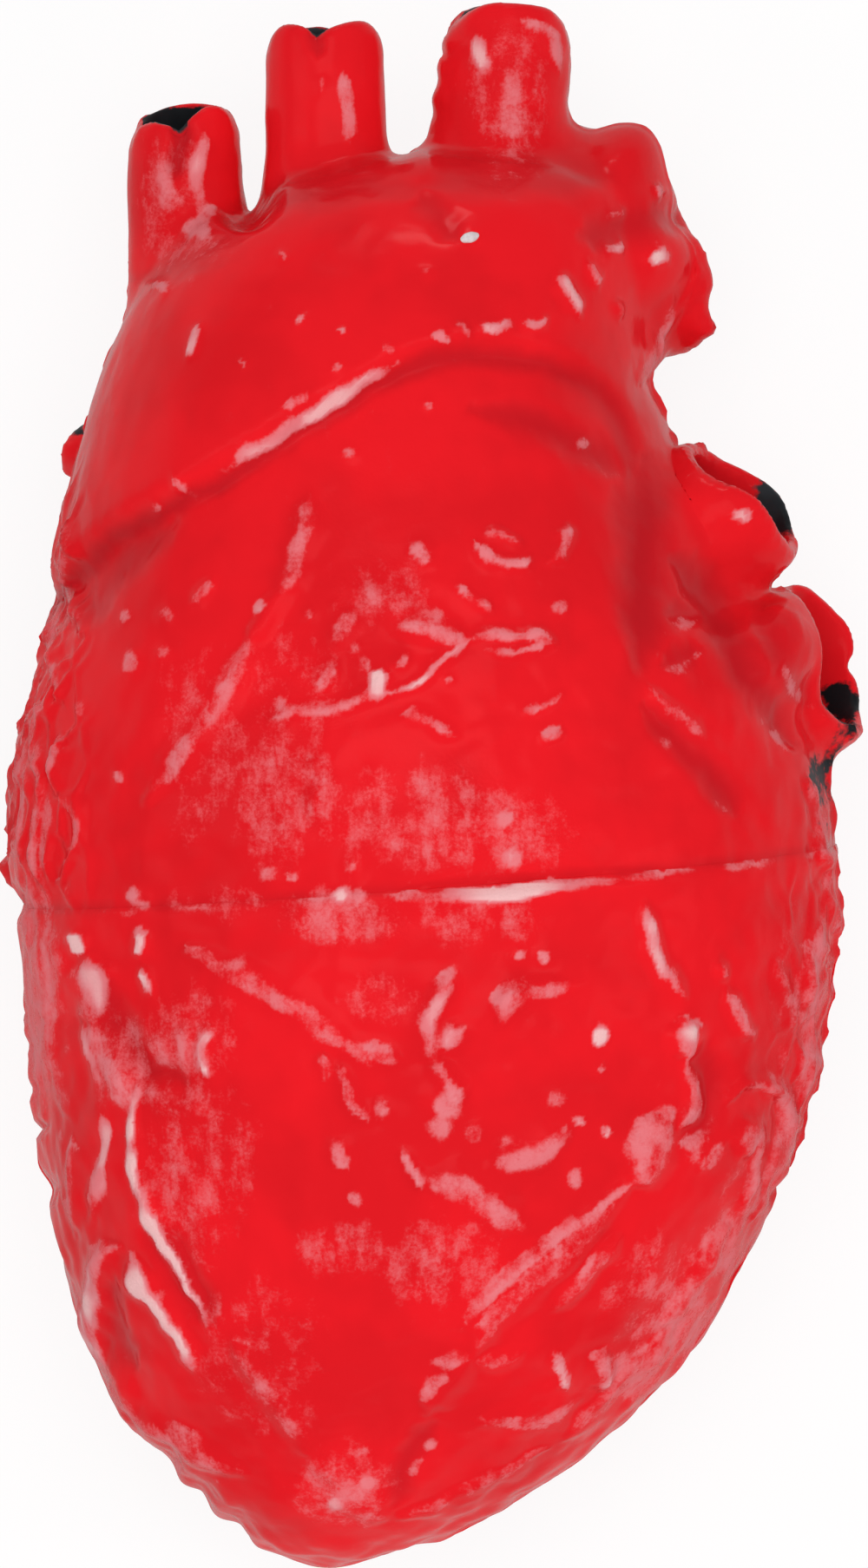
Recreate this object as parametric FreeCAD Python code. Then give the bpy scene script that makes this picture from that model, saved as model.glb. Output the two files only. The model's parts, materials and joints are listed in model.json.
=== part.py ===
"""Dissectible classroom model of the human heart, lying on its flattened back.

Row frame, in millimetres: +X is the heart's own left side, +Y runs from the apex to the great
vessels, +Z is the front of the heart, and the table is z = 0. The origin is the middle of the
bounding box, on the table.

The moulded case parts at a slanted seam. The upper section carries the vessel stubs, the roofs of
both ventricles and the four valves. The lower section holds the two ventricle cups and pulls
straight off its two locating pegs, along the table.
"""
import FreeCAD
import Part

import math
import os

from FreeCAD import Vector

# ---------------------------------------------------------------- driving dimensions

WALL = 3.0              # moulded case wall
GLUE_GAP = 0.15         # slip between an insert and the case that it is cemented into
SEAM_GAP = 0.1          # parting gap between the two sections
PLATE = 2.5             # thickness of the two section faces
LINER = 2.0             # wall of the ventricle cups and domes

# Stations of the case from apex to vessels: (y, right border, left border, back, front).
# A back below the table is planed off flat, which is what the model rests on.
STATIONS = [
    (-88.5, -18.8, -4.2, 26.0, 42.0),
    (-84.0, -25.4, 7.0, 18.5, 49.0),
    (-74.0, -35.0, 21.5, 9.5, 57.0),
    (-60.0, -41.3, 32.9, 3.0, 64.5),
    (-42.0, -45.8, 41.3, -0.6, 69.5),
    (-20.0, -47.6, 46.2, -1.8, 72.0),
    (0.0, -48.7, 45.4, -1.8, 72.2),
    (20.0, -44.0, 38.0, -1.4, 70.0),
    (38.0, -40.6, 28.0, 1.0, 67.0),
    (52.0, -36.0, 24.5, 6.5, 63.5),
    (62.0, -29.5, 25.0, 13.0, 59.0),
    (68.5, -20.0, 23.5, 20.5, 53.5),
]
APEX = Vector(-11.5, -90.3, 34.0)
CROWN = Vector(5.0, 73.0, 37.0)
SQUARENESS = 2.25       # superellipse exponent of a station
SECTION_POINTS = 16
MIDDLE = 0.48           # height of a station's widest line, as a share of its depth

ARCH_END = Vector(16.5, 62.5, 35.0)         # rounded end of the aortic arch
ARCH_END_RADII = (12.5, 13.4, 14.0)

# Seam between the sections, as y = SEAM_Y + SEAM_RISE * x - SEAM_LEAN * (z - SEAM_Z)
SEAM_Y, SEAM_Z = -10.4, 36.0
SEAM_RISE, SEAM_LEAN = 0.075, 0.037

# Parting plane between the front and back mouldings, as z = PARTING_Z + PARTING_TILT * x
PARTING_Z, PARTING_TILT = 35.5, 0.10
PARTING_GAP = 0.05

# Vessel stubs: root and mouth of the axis, outer radius at root and mouth, bore radius.
# The root lies inside the case, and the stub is trimmed flush with the case's inner wall.
STUBS = {
    "superior_vena_cava": ((-28.2, 52.0, 33.0), (-28.9, 78.6, 35.0), 6.9, 6.5, 4.7),
    "brachiocephalic_trunk": ((-12.4, 61.0, 36.5), (-12.6, 87.9, 37.0), 7.1, 6.8, 4.9),
    "left_carotid_artery": ((6.4, 62.0, 37.5), (8.9, 90.2, 38.0), 7.8, 7.2, 5.2),
    "left_pulmonary_artery": ((14.0, 57.0, 34.0), (28.0, 58.4, 28.4), 9.6, 8.8, 6.6),
    "left_superior_pulmonary_vein": ((25.5, 23.0, 39.0), (35.4, 32.8, 42.5), 9.6, 9.2, 7.1),
    "left_inferior_pulmonary_vein": ((32.0, 4.0, 33.0), (43.8, 13.1, 37.0), 9.8, 9.4, 7.3),
    "right_superior_pulmonary_vein": ((-27.0, 36.0, 24.0), (-40.6, 38.8, 17.0), 6.4, 6.0, 4.3),
    "right_inferior_pulmonary_vein": ((-28.0, 20.0, 19.5), (-39.2, 19.0, 10.5), 6.4, 6.0, 4.3),
    "inferior_vena_cava": ((-27.0, 5.0, 13.5), (-41.5, 1.5, 8.6), 7.2, 6.8, 5.0),
}

# Ventricles, in seam coordinates: u to the heart's left, v to the front, w towards the apex
LEFT_CENTRE, LEFT_RADIUS, LEFT_DEPTH = (17.0, -6.0), 13.5, 60.0
RIGHT_CENTRE, RIGHT_RADIUS, RIGHT_DEPTH = (-7.5, 2.0), 26.5, 55.0
LEFT_AIM, RIGHT_AIM = (-9.0, -1.0, 76.0), (-17.0, 4.0, 64.0)
SEPTUM = 9.0            # muscle between the two ventricles
SEPTUM_DEPTH = 68.0
SEPTUM_TAPER = 2.0      # how much thinner the septum is at the valve plane
ROOF = 33.0             # height of the valve plane over the seam
LEFT_ROOF, LEFT_ROOF_RADIUS = (12.5, -6.0), 16.3
RIGHT_ROOF, RIGHT_ROOF_RADIUS = (-9.0, -1.0), 23.0

# Valves: orifice centre (u, v) and radius
MITRAL, MITRAL_RADIUS = (17.6, -9.2), 7.2
AORTIC, AORTIC_RADIUS = (4.4, -1.4), 5.2
TRICUSPID, TRICUSPID_RADIUS = (-21.0, -3.0), 8.0
PULMONARY, PULMONARY_RADIUS = (-9.0, 14.6), 5.2
RING_WIDTH, RING_FLANGE, RING_LIP = 1.2, 1.2, 1.2

# Atria stand on the valve plane, and the two great arteries on their valves
LEFT_ATRIUM, LEFT_ATRIUM_RADII = (15.0, -11.0, -36.0), (11.5, 13.0, 19.0)
RIGHT_ATRIUM, RIGHT_ATRIUM_RADII = (-21.0, -5.0, -44.0), (13.0, 15.5, 16.0)
LEFT_VEINS = ("left_superior_pulmonary_vein", "left_inferior_pulmonary_vein",
              "right_superior_pulmonary_vein", "right_inferior_pulmonary_vein")
RIGHT_VEINS = ("superior_vena_cava", "inferior_vena_cava")
PORT_SHARE = 0.6        # radius of a vein's port in its atrium, as a share of the bore
ARTERY_RADIUS, ARTERY_BORE = 6.2, 4.4
AORTA_TOP = (4.4, -1.4, -66.0)
TRUNK_TOP = (14.0, 9.5, -60.0)
LEAFLET, LEAFLET_DROP = 0.8, 10.0
CUSP, CUSP_RISE = 0.7, 4.6
LEAFLET_GAP_DEG = 8.0

# Papillary muscles: wall angle in degrees, seen from the apex
LEFT_PAPILLARY_DEG, RIGHT_PAPILLARY_DEG = (70.0, 215.0), (100.0, 200.0)
PAPILLARY_RADIUS, PAPILLARY_TIP, PAPILLARY_ROOT = 3.2, 1.7, 4.0
PAPILLARY_HEAD, PAPILLARY_FOOT, PAPILLARY_TURN_IN = 9.0, 34.0, 0.25
CHORD_RADIUS, CHORDS_PER_MUSCLE, CHORD_SPREAD_DEG = 0.4, 4, 17.0
CHORD_PITCH, CHORD_EMBED = 1.05, 0.5     # spacing on a muscle's tip, and depth set into each end

# Fastening: pegs and magnets, places in seam coordinates
PEGS, PEG_RADIUS, PEG_LENGTH = ((-40.6, 0.0), (38.0, 0.0)), 2.0, 6.0
PEG_HEAD_RADIUS, PEG_HEAD, PEG_HEAD_GAP = 3.1, 1.5, 0.2
SOCKET_RADIUS, SOCKET_CLEARANCE, SOCKET_LENGTH = 3.1, 0.06, 8.0
MAGNETS, MAGNET_RADIUS = ((10.0, -27.0), (20.5, 21.0)), 3.4

FAR = 300.0             # half size of a cutting block

# ---------------------------------------------------------------- helpers


def section(station, inset):
    """Closed outline of the case across one station, moved inwards by inset."""
    y, right, left, back, front = station
    x_mid, half_x = (left + right) / 2, (left - right) / 2 - inset
    back, front = back + inset, front - inset
    z_mid = back + MIDDLE * (front - back)
    points = []
    for i in range(SECTION_POINTS):
        a = 2 * math.pi * i / SECTION_POINTS
        across = math.copysign(abs(math.cos(a)) ** (2 / SQUARENESS), math.cos(a))
        up = math.copysign(abs(math.sin(a)) ** (2 / SQUARENESS), math.sin(a))
        half_z = front - z_mid if up > 0 else z_mid - back
        points.append(Vector(x_mid + half_x * across, y, z_mid + half_z * up))
    curve = Part.BSplineCurve()
    curve.interpolate(points, PeriodicFlag=True)
    return Part.Wire(curve.toShape())


def ellipsoid(centre, radii):
    """Solid ellipsoid with its three radii along the axes."""
    scale = FreeCAD.Matrix()
    scale.scale(*radii)
    ball = Part.makeSphere(1.0).transformGeometry(scale)
    ball.translate(centre)
    return ball


def body(inset):
    """The whole case as one solid, moved inwards by inset, with a planed back."""
    stations = [s for s in STATIONS if s[2] - s[1] > 4 * inset]
    wires = [section(s, inset) for s in stations]
    ends = [APEX + Vector(0, 1.3 * inset, 0), CROWN - Vector(0, 1.1 * inset, 0)]
    loft = Part.makeLoft([Part.Vertex(ends[0]), *wires, Part.Vertex(ends[1])], True, False)
    arch = ellipsoid(ARCH_END, [r - inset for r in ARCH_END_RADII])
    return loft.fuse(arch).cut(block(Vector(0, 0, inset), Vector(0, 0, -1)))


def block(point, normal):
    """A large block that fills the half space on the normal's side of a plane."""
    box = Part.makeBox(2 * FAR, 2 * FAR, FAR, Vector(-FAR, -FAR, 0))
    box.Placement = FreeCAD.Placement(point, FreeCAD.Rotation(Vector(0, 0, 1), normal))
    return box


def drum(start, end, radius, end_radius=None):
    """Cylinder or cone between two points."""
    axis = end - start
    if end_radius is None or abs(end_radius - radius) < 1e-6:
        return Part.makeCylinder(radius, axis.Length, start, axis)
    return Part.makeCone(radius, end_radius, axis.Length, start, axis)


def lathe(profile, sweep=360.0, start=0.0):
    """Solid turned about the w axis from (radius, height) points, over part of a turn."""
    points = [Vector(r, 0, h) for r, h in profile]
    face = Part.Face(Part.makePolygon([*points, points[0]]))
    face.rotate(Vector(), Vector(0, 0, 1), start)
    return face.revolve(Vector(), Vector(0, 0, 1), sweep)


def bullet(centre, aim, radius, depth):
    """Round-nosed cavity from the seam towards aim, with a straight run behind the seam."""
    nose = Part.Arc(Part.Ellipse(Vector(0, 0, depth), Vector(radius, 0, 0), Vector()), 0, math.pi / 2)
    tail = -2 * radius
    edges = [
        nose.toShape(),
        Part.makeLine(Vector(radius, 0, 0), Vector(radius, 0, tail)),
        Part.makeLine(Vector(radius, 0, tail), Vector(0, 0, tail)),
        Part.makeLine(Vector(0, 0, tail), Vector(0, 0, depth)),
    ]
    solid = Part.Face(Part.Wire(edges)).revolve(Vector(), Vector(0, 0, 1), 360)
    start = Vector(*centre, 0)
    turn = FreeCAD.Rotation(Vector(0, 0, 1), Vector(*aim) - start)
    solid.Placement = FreeCAD.Placement(start, turn)
    return solid


def largest(shape):
    """The biggest solid of a cut, without the crumbs that it can leave."""
    return max(shape.Solids, key=lambda solid: solid.Volume)


def joined(shapes):
    """Several separate solids as one compound."""
    return Part.makeCompound([s for shape in shapes for s in shape.Solids])


# ---------------------------------------------------------------- seam coordinates

UP = Vector(-SEAM_RISE, 1, SEAM_LEAN).normalize()       # out of the upper section's side
ACROSS = Vector(1, SEAM_RISE, 0).normalize()
FRONT = ACROSS.cross(UP)
SEAM = Vector(0, SEAM_Y, SEAM_Z)
TO_ROW = FreeCAD.Placement(FreeCAD.Matrix(
    ACROSS.x, FRONT.x, -UP.x, SEAM.x,
    ACROSS.y, FRONT.y, -UP.y, SEAM.y,
    ACROSS.z, FRONT.z, -UP.z, SEAM.z,
    0, 0, 0, 1))
PULL = Vector(SEAM_RISE, -1, 0).normalize()             # the way the lower section comes off
PULL_IN_SEAM = TO_ROW.Rotation.inverted().multVec(PULL)


def to_row(shape):
    """A shape drawn in seam coordinates, moved to the row frame."""
    moved = shape.copy()
    moved.Placement = TO_ROW.multiply(moved.Placement)
    return moved


def slab(near, far):
    """All space between two heights of the seam coordinate w."""
    return Part.makeBox(2 * FAR, 2 * FAR, far - near, Vector(-FAR, -FAR, near))


# ---------------------------------------------------------------- case and vessel stubs


def stub(name, grow=0.0):
    """Outer solid of a vessel stub."""
    root, mouth, root_radius, mouth_radius, _ = STUBS[name]
    return drum(Vector(*root), Vector(*mouth), root_radius + grow, mouth_radius + grow)


def bore(name):
    """Lumen of a vessel stub, run past both of its ends."""
    root, mouth, _, _, radius = STUBS[name]
    root, mouth = Vector(*root), Vector(*mouth)
    along = (mouth - root).normalize()
    return drum(root - along, mouth + along, radius)


def case():
    """The four mouldings of the case and the nine vessel stubs."""
    outer, inner = body(0.0), body(WALL)
    holes = [stub(name, grow=GLUE_GAP / 2) for name in STUBS]
    shell = outer.cut(inner).cut(holes)
    upper = shell.common(block(SEAM + UP * (SEAM_GAP / 2), UP))
    lower = shell.common(block(SEAM - UP * (SEAM_GAP / 2), UP * -1))
    ahead = Vector(-PARTING_TILT, 0, 1).normalize()
    middle = Vector(0, 0, PARTING_Z)
    front = block(middle + ahead * (PARTING_GAP / 2), ahead)
    back = block(middle - ahead * (PARTING_GAP / 2), ahead * -1)
    parts = {
        "upper_front_shell": largest(upper.common(front)),
        "upper_back_shell": largest(upper.common(back)),
        "lower_front_shell": largest(lower.common(front)),
        "lower_back_shell": largest(lower.common(back)),
    }
    for name in STUBS:
        parts[name] = stub(name).cut([inner, bore(name)])
    return parts


# ---------------------------------------------------------------- section faces and ventricles


def cavity_left(grow=0.0):
    """Left ventricle below the seam."""
    return bullet(LEFT_CENTRE, LEFT_AIM, LEFT_RADIUS + grow, LEFT_DEPTH + grow)


def cavity_right(grow=0.0):
    """Right ventricle below the seam: a bullet with the septum's bulge taken out of it."""
    septum = bullet(LEFT_CENTRE, LEFT_AIM, LEFT_RADIUS + SEPTUM - grow, SEPTUM_DEPTH - grow)
    return bullet(RIGHT_CENTRE, RIGHT_AIM, RIGHT_RADIUS + grow, RIGHT_DEPTH + grow).cut(septum)


def funnel(centre, radius, roof_centre, roof_radius, height):
    """Cone from a little past the seam up to a height over it."""
    low, high = Vector(*centre, 0), Vector(*roof_centre, -height)
    past = (low - high) * 0.1
    past_radius = radius + (radius - roof_radius) * 0.1
    return Part.makeLoft([ring_wire(low + past, past_radius), ring_wire(high, roof_radius)], True, True)


def ring_wire(centre, radius):
    """Circle in a plane of constant w."""
    return Part.Wire(Part.makeCircle(radius, centre, Vector(0, 0, 1)))


def attic_left(grow=0.0):
    """Left ventricle above the seam."""
    return funnel(LEFT_CENTRE, LEFT_RADIUS + grow, LEFT_ROOF, LEFT_ROOF_RADIUS + grow, ROOF + grow)


def attic_right(grow=0.0):
    """Right ventricle above the seam."""
    low, high = LEFT_RADIUS + SEPTUM - grow, LEFT_ROOF_RADIUS + SEPTUM - SEPTUM_TAPER - grow
    septum = funnel(LEFT_CENTRE, low, LEFT_ROOF, high, ROOF + 2 * LINER)
    low, high = RIGHT_RADIUS + grow, RIGHT_ROOF_RADIUS + grow
    return funnel(RIGHT_CENTRE, low, RIGHT_ROOF, high, ROOF + grow).cut(septum)


def along_pull(place, radius, start, end):
    """Cylinder along the way the lower section comes off, from height start to end."""
    foot = Vector(*place, 0)
    return drum(foot + PULL_IN_SEAM * start, foot + PULL_IN_SEAM * end, radius)


def section_face(side, liners):
    """Plate that closes one section, with its ventricle openings and fastener holes."""
    near, far = sorted((side * SEAM_GAP / 2, side * PLATE))
    outline = body(WALL + GLUE_GAP)
    plate = slab(near, far).common(from_row(outline))
    fastener = PEG_RADIUS if side > 0 else SOCKET_RADIUS
    holes = [along_pull(p, fastener + 0.02, -2 * PLATE, 2 * PLATE) for p in PEGS]
    holes += [along_pull(p, MAGNET_RADIUS + 0.02, -2 * PLATE, 2 * PLATE) for p in MAGNETS]
    return plate.cut([*liners, *holes])


def from_row(shape):
    """A shape of the row frame, moved to seam coordinates."""
    moved = shape.copy()
    moved.Placement = TO_ROW.inverse().multiply(moved.Placement)
    return moved


def from_row_point(place):
    """A point of the row frame, in seam coordinates."""
    return TO_ROW.inverse().multVec(Vector(*place))


def orifice(centre, radius):
    """Hole through a chamber's roof for a valve ring."""
    top = Vector(*centre, -ROOF - 2 * LINER)
    return drum(top, Vector(*centre, -ROOF + LINER), radius + 0.03)


def ventricles():
    """The cups, domes and section faces, in seam coordinates."""
    below, above = slab(SEAM_GAP / 2, FAR), slab(-FAR, -SEAM_GAP / 2)
    cups = [cavity_left(LINER), cavity_right(LINER)]
    domes = [attic_left(LINER), attic_right(LINER)]
    left_holes = [orifice(MITRAL, MITRAL_RADIUS), orifice(AORTIC, AORTIC_RADIUS)]
    right_holes = [orifice(TRICUSPID, TRICUSPID_RADIUS), orifice(PULMONARY, PULMONARY_RADIUS)]
    return {
        "lower_section_face": section_face(1, cups),
        "upper_section_face": section_face(-1, domes),
        "left_ventricle_cup": cups[0].cut(cavity_left()).common(below),
        "right_ventricle_cup": cups[1].cut(cavity_right()).common(below),
        "left_ventricle_dome": domes[0].cut([attic_left(), *left_holes]).common(above),
        "right_ventricle_dome": domes[1].cut([attic_right(), *right_holes]).common(above),
    }


# ---------------------------------------------------------------- valves


def at_valve(shape, centre):
    """A turned valve part, moved from its own axis to its orifice."""
    shape.translate(Vector(*centre, -ROOF))
    return shape


def valve_ring(centre, radius):
    """Flanged ring that sits in the roof, with its flange inside the chamber."""
    inner, sleeve, flange = radius - RING_WIDTH, radius - 0.03, radius + RING_FLANGE
    profile = [(inner, -LINER), (sleeve, -LINER), (sleeve, 0), (flange, 0),
               (flange, RING_LIP), (inner, RING_LIP)]
    return at_valve(lathe(profile), centre)


def leaflet(centre, radius, start, sweep):
    """Sector of a thin funnel that hangs from the ring into the chamber."""
    top, edge = radius - 0.2, 0.5 * radius
    profile = [(top - LEAFLET, RING_LIP), (top, RING_LIP),
               (0.8 * radius, RING_LIP + 0.55 * LEAFLET_DROP),
               (edge, RING_LIP + LEAFLET_DROP), (edge - LEAFLET, RING_LIP + LEAFLET_DROP),
               (0.8 * radius - LEAFLET, RING_LIP + 0.55 * LEAFLET_DROP)]
    return at_valve(lathe(profile, sweep - LEAFLET_GAP_DEG, start + LEAFLET_GAP_DEG / 2), centre)


def cusps(centre, radius):
    """Three pocket-shaped cusps inside a semilunar valve's ring."""
    wall = radius - RING_WIDTH
    profile = [(wall - 0.02, -0.4), (wall - 0.02, 0.5), (0.62 * wall, 0.9), (0.3 * wall, 0.1),
               (0.12, -CUSP_RISE * 0.45), (0.12, -CUSP_RISE * 0.45 - CUSP),
               (0.3 * wall, 0.1 - CUSP), (0.62 * wall, 0.9 - CUSP)]
    return joined([
        at_valve(lathe(profile, 120 - LEAFLET_GAP_DEG / 2, turn + LEAFLET_GAP_DEG / 4), centre)
        for turn in (30, 150, 270)])


def valves():
    """Rings, leaflets and cusps of the four valves, in seam coordinates."""
    return {
        "mitral_valve_ring": valve_ring(MITRAL, MITRAL_RADIUS),
        "mitral_anterior_leaflet": leaflet(MITRAL, MITRAL_RADIUS, 85, 130),
        "mitral_posterior_leaflet": leaflet(MITRAL, MITRAL_RADIUS, 215, 230),
        "tricuspid_valve_ring": valve_ring(TRICUSPID, TRICUSPID_RADIUS),
        "tricuspid_anterior_leaflet": leaflet(TRICUSPID, TRICUSPID_RADIUS, 60, 130),
        "tricuspid_posterior_leaflet": leaflet(TRICUSPID, TRICUSPID_RADIUS, 190, 110),
        "tricuspid_septal_leaflet": leaflet(TRICUSPID, TRICUSPID_RADIUS, 300, 120),
        "aortic_valve_ring": valve_ring(AORTIC, AORTIC_RADIUS),
        "aortic_valve_cusps": cusps(AORTIC, AORTIC_RADIUS),
        "pulmonary_valve_ring": valve_ring(PULMONARY, PULMONARY_RADIUS),
        "pulmonary_valve_cusps": cusps(PULMONARY, PULMONARY_RADIUS),
    }


# ---------------------------------------------------------------- atria and great arteries


def artery(valve, top, radius, run_out=0.0):
    """Straight tube from a semilunar valve towards the vessel stubs."""
    foot = Vector(*valve, -ROOF - LINER)
    along = (Vector(*top) - foot).normalize()
    return drum(foot - along * 2 * radius, Vector(*top) + along * run_out, radius)


def atrium(centre, radii, veins, aorta):
    """Thin dome over the valve plane, hollowed round the aorta, with a port for each vein."""
    centre = Vector(*centre)
    outer = ellipsoid(centre, radii).cut(artery(*aorta, ARTERY_RADIUS + GLUE_GAP))
    inner = ellipsoid(centre, [r - LINER for r in radii])
    inner = inner.cut(artery(*aorta, ARTERY_RADIUS + GLUE_GAP + LINER))
    ports = [drum(from_row_point(STUBS[v][0]), centre, PORT_SHARE * STUBS[v][4]) for v in veins]
    return outer.cut([inner, *ports])


def upper_chambers():
    """The atria and the roots of the two great arteries, in seam coordinates."""
    above = slab(-FAR, -ROOF - LINER - SEAM_GAP / 2)
    aorta, trunk = (AORTIC, AORTA_TOP), (PULMONARY, TRUNK_TOP)
    return {
        "left_atrium": atrium(LEFT_ATRIUM, LEFT_ATRIUM_RADII, LEFT_VEINS, aorta).common(above),
        "right_atrium": atrium(RIGHT_ATRIUM, RIGHT_ATRIUM_RADII, RIGHT_VEINS, aorta).common(above),
        "ascending_aorta": artery(*aorta, ARTERY_RADIUS).cut(
            artery(*aorta, ARTERY_BORE, 1.0)).common(above),
        "pulmonary_trunk": artery(*trunk, ARTERY_RADIUS).cut(
            artery(*trunk, ARTERY_BORE, 1.0)).common(above),
    }


# ---------------------------------------------------------------- papillary muscles and chordae


def wall_place(centre, radius, degrees, height):
    """Point on a papillary muscle's axis, a little inside the chamber wall."""
    a = math.radians(degrees)
    reach = radius - 0.8 * PAPILLARY_RADIUS
    return Vector(centre[0] + reach * math.cos(a), centre[1] + reach * math.sin(a), height)


def muscle_head(centre, radius, degrees, chamber):
    """Tip of a papillary muscle over the seam, tapered, against the chamber's wall."""
    foot = wall_place(centre, radius, degrees, PAPILLARY_RADIUS)
    tip = wall_place(centre, radius, degrees, -PAPILLARY_HEAD)
    return drum(foot, tip, PAPILLARY_RADIUS, PAPILLARY_TIP).common(chamber)


def muscle_foot(centre, aim, radius, degrees, chamber):
    """The rest of the muscle below the seam, running down the wall."""
    top = wall_place(centre, radius, degrees, 0.0)
    lean = (Vector(*aim) - Vector(*centre, 0)) * (PAPILLARY_FOOT / aim[2])
    bottom = top + lean + (Vector(*centre, 0) - top) * PAPILLARY_TURN_IN
    start = top + (top - bottom).normalize() * PAPILLARY_RADIUS
    return drum(start, bottom, PAPILLARY_RADIUS, PAPILLARY_ROOT).common(chamber)


def chords(valve, radius, start_deg, head):
    """Chords from a leaflet's free edge to the head of a papillary muscle."""
    made = []
    for i in range(CHORDS_PER_MUSCLE):
        fan = i - (CHORDS_PER_MUSCLE - 1) / 2
        a = math.radians(start_deg + CHORD_SPREAD_DEG * fan)
        reach = 0.5 * radius - LEAFLET / 2
        top = Vector(valve[0] + reach * math.cos(a), valve[1] + reach * math.sin(a),
                     -ROOF + RING_LIP + LEAFLET_DROP)
        side = Vector(-math.sin(a), math.cos(a), 0) * (fan * CHORD_PITCH * 0.75)
        bottom = head + side
        embed = (bottom - top).normalize() * CHORD_EMBED
        made.append(drum(top - embed, bottom + embed, CHORD_RADIUS))
    return made


def muscles():
    """Papillary muscles of both ventricles and their chords, in seam coordinates."""
    above, below = slab(-FAR, -SEAM_GAP / 2), slab(SEAM_GAP / 2, FAR)
    sides = {
        "left": (LEFT_CENTRE, LEFT_AIM, LEFT_RADIUS, LEFT_PAPILLARY_DEG,
                 attic_left().common(above), cavity_left().common(below),
                 MITRAL, MITRAL_RADIUS, (110, 290)),
        "right": (RIGHT_CENTRE, RIGHT_AIM, RIGHT_RADIUS, RIGHT_PAPILLARY_DEG,
                  attic_right().common(above), cavity_right().common(below),
                  TRICUSPID, TRICUSPID_RADIUS, (95, 240)),
    }
    parts = {}
    for side, (centre, aim, radius, degrees, attic, cavity, valve, wide, edges) in sides.items():
        parts[f"{side}_papillary_heads"] = joined(
            [muscle_head(centre, radius, d, attic) for d in degrees])
        parts[f"{side}_papillary_muscles"] = joined(
            [muscle_foot(centre, aim, radius, d, cavity) for d in degrees])
        strings = []
        for d, edge in zip(degrees, edges):
            head = wall_place(centre, radius, d, -PAPILLARY_HEAD)
            strings += chords(valve, wide, edge, head)
        parts[f"{side}_chordae_tendineae"] = joined(strings)
    return parts


# ---------------------------------------------------------------- fasteners


def fasteners():
    """Pegs, their sockets and the magnets, in seam coordinates."""
    lower, upper = (SEAM_GAP / 2, PLATE), (-PLATE, -SEAM_GAP / 2)
    pegs, sockets = [], []
    for place in PEGS:
        shank = along_pull(place, PEG_RADIUS, -PEG_LENGTH, PLATE + PEG_HEAD)
        head = along_pull(place, PEG_HEAD_RADIUS, PLATE + PEG_HEAD_GAP, PLATE + PEG_HEAD)
        pegs.append(shank.makeChamfer(0.6, [shank.Edges[i] for i in tip_edge(shank)]).fuse(head))
        tube = along_pull(place, SOCKET_RADIUS, -SOCKET_LENGTH, -SEAM_GAP)
        hole = along_pull(place, PEG_RADIUS + SOCKET_CLEARANCE, -SOCKET_LENGTH - 1, 1)
        sockets.append(tube.cut(hole))
    return {
        "locating_pegs": joined(pegs),
        "peg_sockets": joined(sockets),
        "lower_magnets": joined([along_pull(p, MAGNET_RADIUS, *lower) for p in MAGNETS]),
        "upper_magnets": joined([along_pull(p, MAGNET_RADIUS, *upper) for p in MAGNETS]),
    }


def tip_edge(shank):
    """Index of the circular edge at a peg's free end, which is its lowest in w."""
    heights = {i: e.CenterOfMass.z for i, e in enumerate(shank.Edges) if len(e.Vertexes) == 1}
    return [min(heights, key=heights.get)]


# ---------------------------------------------------------------- build and export


def main():
    parts = case()
    for made in (ventricles(), valves(), upper_chambers(), muscles(), fasteners()):
        parts.update({name: to_row(shape) for name, shape in made.items()})
    os.makedirs("parts", exist_ok=True)
    for name, shape in parts.items():
        solids = shape.Solids
        good = all(s.isValid() and s.isClosed() for s in solids)
        print(f"{name:32s} solids {len(solids)} volume {shape.Volume:9.1f} valid {good}")
        Part.makeCompound(solids).exportStep(f"parts/{name}.step")


main()
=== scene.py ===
# %% [markdown]
# # A heart model in sprayed vinyl
# The real object is a hollow heart cast in soft black vinyl and sprayed with thick gloss red
# lacquer. It comes apart at a slanted seam: the lower, apex section pulls off two pegs and shows
# the chambers and valves inside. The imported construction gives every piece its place. This
# lesson gives the pieces their skin: ridges of vessels and muscle, rolled lips, seam flash and
# lacquer.

import json
import math

import bmesh
import bpy
import numpy as np
from mathutils import Matrix, Vector, noise
from mathutils.bvhtree import BVHTree

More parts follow.
